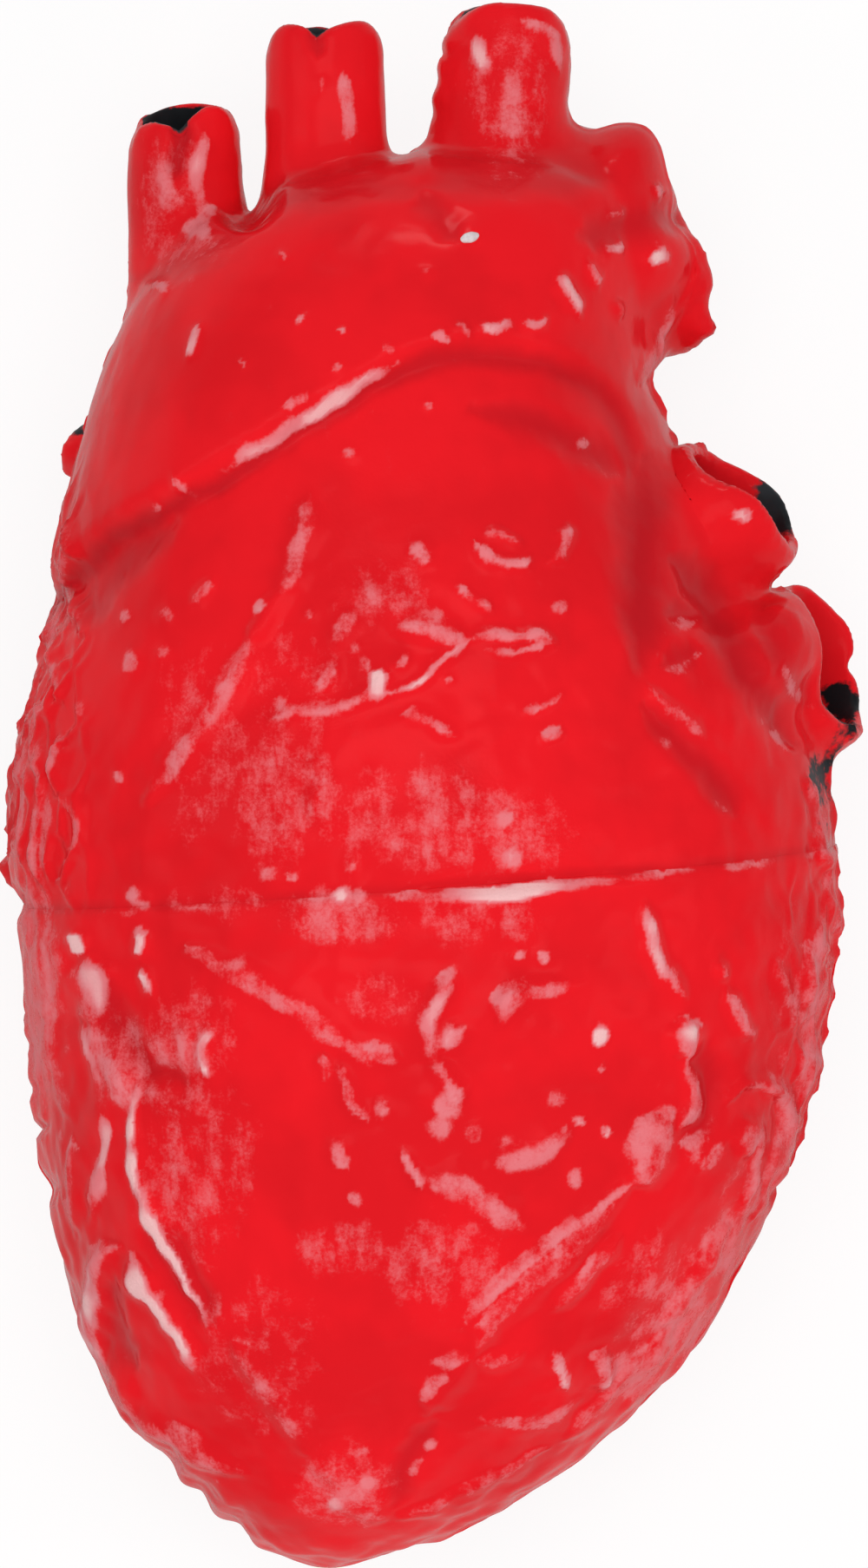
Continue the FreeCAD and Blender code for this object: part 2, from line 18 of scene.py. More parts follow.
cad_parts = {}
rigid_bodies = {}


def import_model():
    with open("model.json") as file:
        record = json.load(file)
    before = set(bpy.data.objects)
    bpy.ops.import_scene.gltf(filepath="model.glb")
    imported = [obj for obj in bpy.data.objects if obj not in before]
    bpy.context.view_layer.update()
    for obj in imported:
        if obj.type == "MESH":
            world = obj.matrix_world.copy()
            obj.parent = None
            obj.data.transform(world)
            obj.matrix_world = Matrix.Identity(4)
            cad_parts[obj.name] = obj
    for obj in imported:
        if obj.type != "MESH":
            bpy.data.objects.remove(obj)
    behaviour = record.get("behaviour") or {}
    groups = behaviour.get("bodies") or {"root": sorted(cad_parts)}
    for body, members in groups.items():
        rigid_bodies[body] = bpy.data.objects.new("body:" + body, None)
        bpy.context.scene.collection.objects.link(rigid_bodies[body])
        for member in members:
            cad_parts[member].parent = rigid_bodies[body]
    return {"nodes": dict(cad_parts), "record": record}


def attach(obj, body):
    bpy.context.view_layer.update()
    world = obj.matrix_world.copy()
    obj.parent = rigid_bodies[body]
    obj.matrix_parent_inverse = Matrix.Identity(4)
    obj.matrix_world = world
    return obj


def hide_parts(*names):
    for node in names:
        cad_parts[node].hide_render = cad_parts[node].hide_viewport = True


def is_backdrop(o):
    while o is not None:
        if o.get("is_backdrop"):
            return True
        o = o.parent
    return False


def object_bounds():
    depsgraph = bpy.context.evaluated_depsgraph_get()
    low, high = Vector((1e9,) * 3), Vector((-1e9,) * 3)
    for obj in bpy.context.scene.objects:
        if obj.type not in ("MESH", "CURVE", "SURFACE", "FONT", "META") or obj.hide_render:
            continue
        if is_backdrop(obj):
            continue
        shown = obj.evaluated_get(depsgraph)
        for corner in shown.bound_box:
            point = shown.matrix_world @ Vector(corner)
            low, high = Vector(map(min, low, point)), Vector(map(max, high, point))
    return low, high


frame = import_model()
nodes = frame["nodes"]
scene = bpy.context.scene
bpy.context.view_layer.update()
MM = 0.001

# %% [markdown]
# ## Camera
# A long lens far away shows the heart almost without perspective, as a catalogue picture does.
# The camera hangs straight over the model, which lies on its back, and its height of view is
# about the model's own length. The lens follows from that height and the distance, so one can be
# changed without the other.

# %% Camera over the front of the heart
EYE = Vector((0.0, 0.0, 1.6))
MID_PLANE = 36 * MM         # height at which the outline is widest
VIEW_HEIGHT = 180.6 * MM
SENSOR = 36.0

camera = bpy.data.objects.new("camera", bpy.data.cameras.new("camera"))
camera.data.sensor_width = SENSOR
camera.data.lens = SENSOR * (EYE.z - MID_PLANE) / VIEW_HEIGHT
camera.location = EYE
scene.collection.objects.link(camera)
scene.camera = camera
print("lens", round(camera.data.lens, 1), "mm")

# %% [markdown]
# ## One skin for the whole case
# The case is four mouldings and nine vessel stubs, but on the real model the lacquer runs over
# all the joints. Sculpting thirteen pieces one by one would leave steps where they meet. So the
# construction's outer pieces are copied, merged into one closed skin with a voxel remesh, shaped
# as one, and cut back into thirteen pieces at the same planes afterwards. The voxels also turn
# the square tube ends into soft, rolled lips.

# %% Copy and fuse the outer pieces
VOXEL = 0.55 * MM
CASE = ("upper_front_shell", "upper_back_shell", "lower_front_shell", "lower_back_shell")
# Vessel stubs: root and mouth of each axis, outer and bore radius, all in mm
STUBS = {
    "superior_vena_cava": ((-28.2, 52.0, 33.0), (-28.9, 78.6, 35.0), 6.7, 4.7),
    "brachiocephalic_trunk": ((-12.4, 61.0, 36.5), (-12.6, 87.9, 37.0), 6.9, 4.9),
    "left_carotid_artery": ((6.4, 62.0, 37.5), (8.9, 90.2, 38.0), 7.4, 5.2),
    "left_pulmonary_artery": ((14.0, 57.0, 34.0), (28.0, 58.4, 28.4), 9.0, 6.6),
    "left_superior_pulmonary_vein": ((25.5, 23.0, 39.0), (35.4, 32.8, 42.5), 9.4, 7.1),
    "left_inferior_pulmonary_vein": ((32.0, 4.0, 33.0), (43.8, 13.1, 37.0), 9.6, 7.3),
    "right_superior_pulmonary_vein": ((-27.0, 36.0, 24.0), (-40.6, 38.8, 17.0), 6.1, 4.3),
    "right_inferior_pulmonary_vein": ((-28.0, 20.0, 19.5), (-39.2, 19.0, 10.5), 6.1, 4.3),
    "inferior_vena_cava": ((-27.0, 5.0, 13.5), (-41.5, 1.5, 8.6), 6.9, 5.0),
}
MERGE = 0.001 * MM      # triangle corners closer than this are one point


def merged_copy(names):
    """One mesh with the merged triangles of several nodes."""
    joined = bmesh.new()
    for name in names:
        part = bmesh.new()
        part.from_mesh(nodes[name].data)
        bmesh.ops.remove_doubles(part, verts=part.verts, dist=MERGE)
        mesh = bpy.data.meshes.new("copy")
        part.to_mesh(mesh)
        part.free()
        joined.from_mesh(mesh)
        bpy.data.meshes.remove(mesh)
    mesh = bpy.data.meshes.new("skin_source")
    joined.to_mesh(mesh)
    joined.free()
    return mesh


def voxel_remesh(mesh, size):
    """The mesh rebuilt from even cubes, as one closed surface."""
    source = bpy.data.objects.new("skin_source", mesh)
    scene.collection.objects.link(source)
    remesh = source.modifiers.new("voxels", "REMESH")
    remesh.mode = "VOXEL"
    remesh.voxel_size = size
    fused = bpy.data.meshes.new_from_object(source.evaluated_get(bpy.context.evaluated_depsgraph_get()))
    bpy.data.objects.remove(source)
    return fused


skin_mesh = voxel_remesh(merged_copy([*CASE, *STUBS]), VOXEL)
print("skin", len(skin_mesh.vertices), "points,", len(skin_mesh.polygons), "faces")

# %% [markdown]
# ## Sculpting in code
# A sculptor's brush moves the points near a stroke in or out along the surface. The same can be
# done for all points at once with arrays: find each point's distance to the stroke, turn the
# distance into a push with a soft profile, and move the point along its normal. The class below
# holds the arrays and the three moves that everything else is made of.

# %% Reading a mesh, soft steps and humps


def read(items, name, width, kind=np.float32):
    """One attribute of many items as a table with width columns."""
    values = np.empty(len(items) * width, kind)
    items.foreach_get(name, values)
    return values.reshape(-1, width) if width > 1 else values


def soft(share):
    """Smooth step from 0 to 1."""
    share = np.clip(share, 0, 1)
    return share * share * (3 - 2 * share)


def bell(distance, width):
    """Smooth hump: 1 in the middle, 0 from width outwards."""
    return 0.5 + 0.5 * np.cos(np.pi * np.clip(np.abs(distance) / width, 0, 1))


# %% The skin as arrays


class Skin:
    """A mesh held as arrays, so that all of its points can be moved at once."""

    def __init__(self, mesh, caps=None):
        self.mesh = mesh
        self.thing = bpy.data.objects.new("skin", mesh)
        scene.collection.objects.link(self.thing)
        self.co = read(mesh.vertices, "co", 3).astype(float)
        self.edges = read(mesh.edges, "vertices", 2, np.int32)
        self.corner = read(mesh.loops, "vertex_index", 1, np.int32)
        totals = read(mesh.polygons, "loop_total", 1, np.int32)
        self.owner = np.repeat(np.arange(len(totals)), totals)
        self.caps = np.zeros(len(totals), bool) if caps is None else caps
        _, self.twin = np.unique(np.round(self.co / (MERGE / 2)), axis=0, return_inverse=True)
        self.twin = self.twin.ravel()
        self.update()

    def update(self):
        """Writes the points back and works out the normals, welded across every cut."""
        self.mesh.vertices.foreach_set("co", self.co.astype(np.float32).ravel())
        self.mesh.update()
        face = read(self.mesh.polygons, "normal", 3) * read(self.mesh.polygons, "area", 1)[:, None]
        face[self.caps] = 0
        groups = self.twin[self.corner]
        total = np.stack([np.bincount(groups, face[self.owner, i]) for i in range(3)], axis=1)
        total /= np.linalg.norm(total, axis=1, keepdims=True) + 1e-20
        self.normal = total[self.twin]
        self.tree = BVHTree.FromObject(self.thing, bpy.context.evaluated_depsgraph_get())

    def to_neighbours(self):
        """The way from each point to the middle of its neighbours."""
        a, b = self.edges.T
        size = len(self.co)
        count = np.bincount(a, minlength=size) + np.bincount(b, minlength=size)
        around = [np.bincount(a, line[b], size) + np.bincount(b, line[a], size) for line in self.co.T]
        return np.stack(around, axis=1) / count[:, None] - self.co

    def relax(self, weight, rounds):
        """Moves each point towards the middle of its neighbours, by its weight."""
        for _ in range(rounds):
            self.co += weight[:, None] * self.to_neighbours()

    def fill_creases(self, weight, rounds):
        """Lifts the hollows only, as clay is pressed into a corner with a thumb."""
        for _ in range(rounds):
            rise = np.einsum("ij,ij->i", self.to_neighbours(), self.normal)
            self.co += self.normal * (weight * np.maximum(rise, 0))[:, None]

    def push(self, amount):
        """Moves the outer points along their normals, by an amount in mm for each."""
        self.co += self.normal * (amount * MM * self.outside)[:, None]
        self.update()


skin = Skin(skin_mesh)
print(len(skin.co), "points held as arrays, with", len(skin.edges), "edges")

# %% [markdown]
# ## Which points are outside
# The skin is a closed wall: it has an outer face, an inner face round the hollow, and the bores
# of the stubs. Only the outer face is sculpted and sprayed. A point of a stub is outside if it
# lies further from the stub's axis than the middle of the wall. A point of the case is outside
# if its normal points away from the heart's long middle line.

# %% Sort the points into outside and inside
# The heart's long middle line in mm: its place across, its height and its two ends
CORE_X, CORE_Z, CORE_LOW, CORE_HIGH = -4, 34, -70, 50
UNDER_ROOT, OVER_MOUTH = 6 * MM, 2 * MM     # how far past a stub's ends its points may lie
OUTSIDE_WALL, INSIDE_FACE = 1.2, 0.5        # mm from a stub's outer face, outwards and inwards


def axis_of(name):
    """Root, direction and length of a stub's axis, in metres."""
    root, mouth = (np.array(end) * MM for end in STUBS[name][:2])
    length = np.linalg.norm(mouth - root)
    return root, (mouth - root) / length, length


def about_axis(name, points):
    """Height over the root and distance from the axis of a stub, for many points."""
    root, along, _ = axis_of(name)
    offset = points - root
    height = offset @ along
    return height, np.linalg.norm(offset - height[:, None] * along, axis=1)


def sort_outside():
    """1 on the outer face, 0 on the inner faces, with a soft change over the lips."""
    core = skin.co * (0, 1, 0)
    core[:, 0] = CORE_X * MM
    core[:, 1] = np.clip(core[:, 1], CORE_LOW * MM, CORE_HIGH * MM)
    core[:, 2] = CORE_Z * MM
    away = skin.co - core
    facing = np.einsum("ij,ij->i", skin.normal, away / np.linalg.norm(away, axis=1, keepdims=True))
    outside = soft((facing + 0.1) / 0.2)
    for name, (_, _, outer, bore) in STUBS.items():
        root, along, length = axis_of(name)
        height, distance = about_axis(name, skin.co)
        below_top = height < length + OVER_MOUTH
        in_bore = (distance < (outer + bore) / 2 * MM) & (height > -UNDER_ROOT) & below_top
        outside[in_bore] = 0
        radial = (skin.co - root - height[:, None] * along) / (distance[:, None] + 1e-9)
        wall = (2 * distance / MM - outer - bore) / (outer - bore)
        turned = np.einsum("ij,ij->i", skin.normal, radial) + 0.4 * wall
        turned = soft(turned / 0.3 + 0.5)
        tube = (distance < (outer + OUTSIDE_WALL) * MM) & (height > 0.35 * length) & below_top
        in_wall = distance < (outer - INSIDE_FACE) * MM
        outside[tube] = np.where(in_wall, turned, np.maximum(turned, outside))[tube]
    return outside


skin.outside = sort_outside()
skin.relax(0.5 * skin.outside, 10)
skin.update()
print("outside share", round(float(skin.outside.mean()), 3))

# %% [markdown]
# ## Big forms first
# A sculptor blocks out the big forms before any detail. Here these are the fillets where the
# stubs grow out of the case, the fold of the right auricle that hangs over the front, the two
# lobes of the pulmonary artery and the notched lips of the tubes. Strokes are drawn on the
# front plane in mm, as a carver would mark them on the model from straight above.

# %% Fillets round the stubs
AROUND_STUB = 5.0       # mm outside a stub's wall where its fillet ends
FILLET_LOW, LIP_FREE = 12 * MM, 3 * MM      # how far below its root, and how near its mouth
FILLET_TURNS, FILLET_ROUNDS = 4, 12


def near_stubs(points, margin):
    """1 close to the roots of the stubs, fading to 0 at a margin in mm outside their walls."""
    near = np.zeros(len(points))
    for name, (_, _, outer, _) in STUBS.items():
        height, distance = about_axis(name, points)
        inside = (height > -FILLET_LOW) & (height < axis_of(name)[2] - LIP_FREE)
        near = np.maximum(near, inside * soft(1 - (distance / MM - outer) / margin))
    return near


for _ in range(FILLET_TURNS):
    skin.fill_creases(skin.outside * near_stubs(skin.co, AROUND_STUB), FILLET_ROUNDS)
    skin.update()
print("fillets done")

# %% Strokes on the front plane


def seen(points):
    """Place of each point on the front plane in mm, as the camera lines it up."""
    spread = (EYE.z - MID_PLANE) / (EYE.z - points[:, 2])
    return points[:, :2] * (spread / MM)[:, None]


def apart(places, x, y):
    """Distance of each place from one mark on the plane, in mm."""
    return np.hypot(places[:, 0] - x, places[:, 1] - y)


def smooth_line(points):
    """A line through a few marks, with its corners cut twice."""
    line = np.array(points, float)
    for _ in range(2):
        near, far = 0.75 * line[:-1] + 0.25 * line[1:], 0.25 * line[:-1] + 0.75 * line[1:]
        line = np.vstack([line[:1], np.stack([near, far], axis=1).reshape(-1, 2), line[-1:]])
    return line


def from_line(places, line):
    """Distance to a line in mm, positive on its left, and the share of its length gone."""
    best = np.full(len(places), np.inf)
    side, gone = np.ones(len(places)), np.zeros(len(places))
    for number, (a, b) in enumerate(zip(line[:-1], line[1:])):
        along = b - a
        share = np.clip((places - a) @ along / (along @ along), 0, 1)
        off = places - a - share[:, None] * along
        distance = np.hypot(*off.T)
        closer = distance < best
        best[closer] = distance[closer]
        side[closer] = np.where(along[0] * off[:, 1] > along[1] * off[:, 0], 1, -1)[closer]
        gone[closer] = ((number + share) / (len(line) - 1))[closer]
    return best * side, gone


def facing(normal, way):
    """1 where the skin faces a way, fading to 0 where it turns from it."""
    return soft((normal @ np.array(way) + 0.12) / 0.3)


near_corner, far_corner = seen(skin.co).min(axis=0), seen(skin.co).max(axis=0)
print("front plane from", near_corner.round(1), "to", far_corner.round(1), "mm")


# %% Fold, lobes and pits of the front
FOLD = [(-56, 8), (-48, 17.5), (-42, 24.3), (-35, 31.0), (-26, 34.8), (-15, 42.3), (-4, 49.0),
        (5, 50.8), (14, 49.2), (20, 45.8), (23.5, 39.3), (24.6, 30), (24.2, 20), (23.4, 8)]
# Its height at the left end, and how far that reaches above and below the line, in mm
FOLD_HEIGHT, FOLD_ABOVE, FOLD_BELOW = 3.0, 12, 8
# Round lumps and pits: place, radius and height in mm
LUMPS = [
    (24.0, 75.0, 4.6, 2.6), (29.5, 65.4, 3.2, -1.3), (30.0, 59.0, 6.5, 1.2), (31.5, 52.6, 2.6, 1.6),
    (18.0, 74.0, 3.6, -0.8), (5.0, 57.0, 12.0, 0.9), (-22.0, 48.0, 14.0, 1.2), (12.0, 41.0, 8.0, 0.6),
    (30.5, 31.0, 6.5, 1.6), (38.0, 14.0, 6.5, 1.4), (31.0, 21.0, 4.5, -1.0), (25.5, 46.5, 3.5, -0.8),
    (0.0, -2.0, 16.0, 0.5), (-30.0, 10.0, 11.0, 0.5), (16.0, -30.0, 12.0, 0.7), (34.0, -42.0, 6.0, 1.3),
    (-8.0, -60.0, 14.0, 0.5), (-41.0, -20.0, 5.0, 0.6), (13.0, 27.0, 7.0, 0.4), (-20.0, -28.0, 10.0, 0.5),
]


def lumps(places, marks):
    """Sum of round lumps on the front plane."""
    rise = np.zeros(len(places))
    for x, y, radius, height in marks:
        rise += height * bell(apart(places, x, y), 1.5 * radius)
    return rise


def hang_over(places, line):
    """A fold: the skin above the line stands out over the skin below it."""
    off, gone = from_line(places, smooth_line(line))
    height = FOLD_HEIGHT * soft((1 - gone) / 0.75) + 0.15
    above = soft((off + 0.9) / 1.8)
    step = above * np.exp(-np.abs(off) / FOLD_ABOVE) - (1 - above) * np.exp(-np.abs(off) / FOLD_BELOW)
    return 0.5 * height * step * soft((1 - gone) / 0.2)


front = facing(skin.normal, (0, 0, 1))
places = seen(skin.co)
skin.push(front * (hang_over(places, FOLD) + lumps(places, LUMPS)))
near_fold = bell(from_line(places, smooth_line(FOLD))[0], 3.5)
skin.relax(0.5 * front * near_fold, 8)
skin.update()
print("fold and lobes done")

# %% Lips of the tubes
# How far the lip lies under the mouth, at a few places across, for its front and its back edge
LIPS = {
    "superior_vena_cava": (
        [(-35.2, 4.5), (-34, 2.6), (-32.4, 2.0), (-30.4, 2.6), (-29.4, 3.2), (-28.4, 2.0), (-26.6, 0.3),
         (-24.8, 0.1), (-23.4, 1.2), (-22.2, 3.6)],
        [(-35.2, 4.0), (-33.6, 1.8), (-31, 0.5), (-28, 0.0), (-25, 0.3), (-23.4, 1.6), (-22.2, 3.6)]),
    "brachiocephalic_trunk": (
        [(-19.6, 3.4), (-18.6, 1.2), (-17.3, 0.3), (-15.5, 0.4), (-14.3, 1.2), (-13.6, 2.0), (-12.8, 1.4),
         (-11.6, 0.7), (-9.8, 0.1), (-8, -0.1), (-6.7, 0.7), (-5.6, 2.8)],
        [(-19.6, 3.4), (-18, 1.0), (-16, 0.4), (-13, 0.4), (-11, 1.0), (-8, 0.9), (-6.7, 1.2), (-5.6, 2.8)]),
    "left_carotid_artery": (
        [(1.4, 6.0), (2.4, 3.6), (4.2, 1.7), (6, 0.8), (8, 0.5), (11, 0.4), (13.6, 0.7), (15.2, 2.2),
         (16.4, 5.0)],
        [(1.4, 6.0), (2.4, 3.4), (4.4, 0.9), (6, 0.4), (8, 0.6), (11, 1.2), (13.6, 1.6), (15.2, 2.8),
         (16.4, 5.0)]),
}
LIP_DEPTH = 9.0     # mm under the mouth that follow the lip
LIP_WIDTH, LIP_ROUNDS = 2.6, 6      # mm around the mouth that are smoothed, and how often

for name, (front_edge, back_edge) in LIPS.items():
    height, distance = about_axis(name, skin.co)
    outer, length = STUBS[name][2], axis_of(name)[2]
    up = soft((height - length + LIP_DEPTH * MM) / (LIP_DEPTH * MM)) * (distance < (outer + 2) * MM)
    root, along, _ = axis_of(name)
    toward = (skin.co - root - height[:, None] * along)[:, 2] / (outer * MM)
    across = seen(skin.co)[:, 0]
    nearer = soft(toward / 0.5 + 0.5)
    sink = nearer * np.interp(across, *zip(*front_edge))
    sink += (1 - nearer) * np.interp(across, *zip(*back_edge))
    skin.co -= along * (up * sink * MM)[:, None]
    print(name, "lip sunk by", round(float((up * sink).max()), 1), "mm")
for name in STUBS:
    height, distance = about_axis(name, skin.co)
    rim = bell((height - axis_of(name)[2]) / MM, LIP_WIDTH) * (distance < (STUBS[name][2] + 2.5) * MM)
    skin.relax(0.5 * rim, LIP_ROUNDS)
skin.update()

# %% [markdown]
# ## Cutting the skin into pieces
# Each piece of the construction gets its own part of the skin. A bisect with a plane leaves a
# clean edge, the far side is split off, and both open ends are closed with flat caps. The stubs
# come off first, each with a plane a little outside the case. Then the slanted seam and the
# parting plane between the front and back mouldings cut the case in four. The cuts keep what the
# brush will need: both sides of a cut have the same points, so they'll move together.

# %% Cut planes
SEAM_POINT, SEAM_NORMAL = Vector((0, -10.4, 36)), Vector((-0.075, 1, 0.037)).normalized()
PARTING_POINT, PARTING_NORMAL = Vector((0, 0, 35.5)), Vector((-0.1, 0, 1)).normalized()
# Distance of each stub's cut from its mouth in mm, and its lean away from the axis
STUB_CUTS = {
    "superior_vena_cava": (14.0, (-0.5, -0.25, 0)),
    "brachiocephalic_trunk": (16.0, (-0.25, 0, 0)),
    "left_carotid_artery": (14.0, (-0.25, -0.25, 0)),
    "left_pulmonary_artery": (2.0, (0.3, 0, -0.3)),
    "left_superior_pulmonary_vein": (3.5, (0.5, 0, -0.25)),
    "left_inferior_pulmonary_vein": (2.5, (0.9, 0, -0.3)),
    "right_superior_pulmonary_vein": (3.0, (0, 0, 0)),
    "right_inferior_pulmonary_vein": (1.5, (-0.3, 0.3, -0.3)),
    "inferior_vena_cava": (3.0, (0, 0.25, -0.5)),
}
print(len(STUB_CUTS) + 2, "cut planes")

# %% One cut: bisect, split off the far side and cap both ends
TOLERANCE = 0.002 * MM      # how near a point counts as on the plane
SNAP = 0.08 * VOXEL         # points as near as this are laid on the plane first
BAND = 3 * VOXEL            # only faces as near as this are cut


def flood(start, stays):
    """The faces reached from a start over the edges that a test lets through."""
    reached, front = {start}, [start]
    while front:
        for edge in front.pop().edges:
            for face in edge.link_faces:
                if face not in reached and stays(face, edge):
                    reached.add(face)
                    front.append(face)
    return list(reached)


def cut_off(bm, faces, point, normal, near_piece, far_piece, tip=None):
    """Cuts faces with a plane, splits off the far side, or its part with a tip, and caps both."""
    piece, cap = bm.faces.layers.int["piece"], bm.faces.layers.int["cap"]

    def over(place):
        return (place - point).dot(normal)

    def on_plane(edge):
        return all(abs(over(v.co)) < 2 * TOLERANCE for v in edge.verts)

    def beyond(face):
        first = over(face.verts[0].co)
        if abs(first) > BAND:
            return first > 0
        return max((over(v.co) for v in face.verts), key=abs) > 0

    band = [f for f in faces if abs(over(f.verts[0].co)) < BAND]
    verts = list({v for f in band for v in f.verts})
    for v in verts:
        if abs(over(v.co)) < SNAP:
            v.co -= over(v.co) * normal
    edges = list({e for f in band for e in f.edges})
    made = bmesh.ops.bisect_plane(bm, geom=verts + edges + band, dist=TOLERANCE,
                                  plane_co=point, plane_no=normal)["geom"]
    made = {f for f in made if isinstance(f, bmesh.types.BMFace)} | {f for f in faces if f.is_valid}
    far = {f for f in made if beyond(f)}
    if tip is not None:
        start = min(far, key=lambda f: (f.verts[0].co - tip).length)
        far = flood(start, lambda face, edge: face in far and not on_plane(edge))
    far = list(far)
    for face in far:
        face[piece] = far_piece
    bmesh.ops.split(bm, geom=far)
    # A rim's edge has one face, so this meets it once, and in the same order in every run
    rims = {near_piece: [], far_piece: []}
    for face in bm.faces:
        if face[piece] in rims:
            rims[face[piece]] += [e for e in face.edges if e.is_boundary]
    left = 0
    for number, rim in rims.items():
        outward = -normal if number == far_piece else normal
        flat = [e for e in rim if on_plane(e)]
        filled = bmesh.ops.triangle_fill(bm, edges=flat, use_beauty=True, normal=outward)["geom"]
        open_edges = [e for e in rim if e.is_boundary]
        left += len(open_edges)
        filled += bmesh.ops.holes_fill(bm, edges=open_edges, sides=0)["faces"]
        for face in filled:
            if isinstance(face, bmesh.types.BMFace):
                face[piece], face[cap] = number, 1
    print("cut", far_piece, "rims of", [len(r) for r in rims.values()], "edges,", left, "closed by hand")


# %% Cut the stubs off
PIECES = [*CASE, *STUBS]
UPPER_FRONT, UPPER_BACK, LOWER_FRONT, LOWER_BACK = range(4)
ROUND_STUB = 5 * MM     # how far outside a stub's wall its cut may reach
BELOW_CUT = 9 * MM      # how far below the cut its faces are looked for
bm = bmesh.new()
bm.from_mesh(skin.mesh)
bm.faces.layers.int.new("piece")
bm.faces.layers.int.new("cap")
bm.faces.ensure_lookup_table()
_, first = np.unique(skin.owner, return_index=True)
start = skin.co[skin.corner[first]]
seeds = {}
for name in STUBS:
    root, along, length = axis_of(name)
    seeds[name] = bm.faces[int(np.argmin(np.linalg.norm(start - root - along * length, axis=1)))]
for number, name in enumerate(STUBS, start=len(CASE)):
    root, along, length = axis_of(name)
    back, lean = STUB_CUTS[name]
    root, along, reach = Vector(root), Vector(along), STUBS[name][2] * MM + ROUND_STUB
    level = length - back * MM

    def close_by(face, _):
        offset = face.verts[0].co - root
        height = offset.dot(along)
        return height > level - BELOW_CUT and (offset - height * along).length < reach

    normal = (along + Vector(lean)).normalized()
    cut_off(bm, flood(seeds[name], close_by), root + along * level, normal, UPPER_FRONT, number,
            tip=root + along * length)

# %% Cut the case at the seam and at the parting plane
layer = bm.faces.layers.int["piece"]
seam, parting = (SEAM_POINT * MM, -SEAM_NORMAL), (PARTING_POINT * MM, -PARTING_NORMAL)
cut_off(bm, [f for f in bm.faces if f[layer] == UPPER_FRONT], *seam, UPPER_FRONT, LOWER_FRONT)
cut_off(bm, [f for f in bm.faces if f[layer] == UPPER_FRONT], *parting, UPPER_FRONT, UPPER_BACK)
cut_off(bm, [f for f in bm.faces if f[layer] == LOWER_FRONT], *parting, LOWER_FRONT, LOWER_BACK)
print("open edges left", sum(e.is_boundary for e in bm.edges))

# %% The cut skin as arrays
cut_mesh = bpy.data.meshes.new("cut_skin")
bm.to_mesh(cut_mesh)
bm.free()
bpy.data.objects.remove(skin.thing)
piece_of_face = read(cut_mesh.attributes["piece"].data, "value", 1, np.int32)
caps = read(cut_mesh.attributes["cap"].data, "value", 1, np.int32) > 0
skin = Skin(cut_mesh, caps)
skin.outside = sort_outside()
piece_of_point = np.empty(len(skin.co), np.int32)
piece_of_point[skin.corner] = piece_of_face[skin.owner]
print("cut skin", len(skin.co), "points")

# %% How far the spray gun reached into each mouth, in mm
SPRAY_DEPTH = {
    "superior_vena_cava": 0.6, "brachiocephalic_trunk": 0.6, "left_carotid_artery": 0.6,
    "left_pulmonary_artery": 3.0, "left_superior_pulmonary_vein": 4.0,
    "left_inferior_pulmonary_vein": 6.0, "right_superior_pulmonary_vein": 2.0,
    "right_inferior_pulmonary_vein": 2.0, "inferior_vena_cava": 2.5,
}
SPRAY_FADE = 1.4    # mm over which the lacquer gives out
sprayed = skin.outside.copy()
for name, depth in SPRAY_DEPTH.items():
    height, distance = about_axis(name, skin.co)
    outer = STUBS[name][2]
    down = (axis_of(name)[2] - height) / MM
    within = (distance < (outer + 2) * MM) & (down < depth + 6) & (down > -3)
    reach = soft((depth - down) / SPRAY_FADE + 0.5)
    sprayed[within] = np.maximum(sprayed, reach)[within]
print("sprayed share", round(float(sprayed.mean()), 2))

# %% Bend the soft lips
# A grab moves one side of a stub, or all of the skin: stub, side (1 near, -1 far), place, radius
# and move, in mm
GRABS = [
    ("left_superior_pulmonary_vein", 1, (36.5, 30.8), 8.0, (1.8, 1.9)),
    ("left_superior_pulmonary_vein", -1, (38.0, 32.8), 8.0, (1.5, 0.9)),
    ("left_inferior_pulmonary_vein", 1, (40.5, 15.5), 9.0, (3.6, 1.2)),
    ("left_inferior_pulmonary_vein", -1, (44.5, 16.5), 9.0, (3.6, 2.8)),
    (None, 0, (41.8, 20.0), 5.5, (0.2, 2.5)),
    ("left_inferior_pulmonary_vein", -1, (48.6, 13.6), 1.8, (-0.7, 0.0)),
    ("left_inferior_pulmonary_vein", -1, (49.0, 10.4), 3.2, (0.8, 0.2)),
    (None, 0, (-21.5, 67.8), 5.0, (0.0, -3.0)),
]
for name, side, (x, y), radius, move in GRABS:
    pull = bell(apart(seen(skin.co), x, y), radius)
    if name:
        root, along, _ = axis_of(name)
        height, _ = about_axis(name, skin.co)
        toward = (skin.co - root - height[:, None] * along)[:, 2] / (STUBS[name][2] * MM)
        pull *= soft(0.5 + side * toward / 0.8)
    skin.co[:, :2] += pull[:, None] * np.array(move) * MM
# The right vein behind the left edge was squeezed nearly flat
SQUEEZED, SQUEEZE_LINE, SQUEEZE = "right_superior_pulmonary_vein", 39.4 * MM, 0.45
height, distance = about_axis(SQUEEZED, skin.co)
squeezed = soft(2 * height / axis_of(SQUEEZED)[2] - 1) * (distance < 9 * MM)
skin.co[:, 1] += SQUEEZE * squeezed * (SQUEEZE_LINE - skin.co[:, 1])
skin.update()
print("lips bent")

# %% [markdown]
# ## Vessels, folds and muscle
# Coronary vessels run over the heart as branching cords under the surface. Each one is a stroke
# with a width and a height, laid on the front plane. Where two strokes meet, the higher one wins,
# so a junction doesn't pile up. Noise bends the strokes and makes their height uneven, as in a
# casting. Each stroke also says how much pale highlight is painted along its crest.

# %% Noise over the skin
SEED_STEP = 7.3     # how far apart in the noise two seeds lie


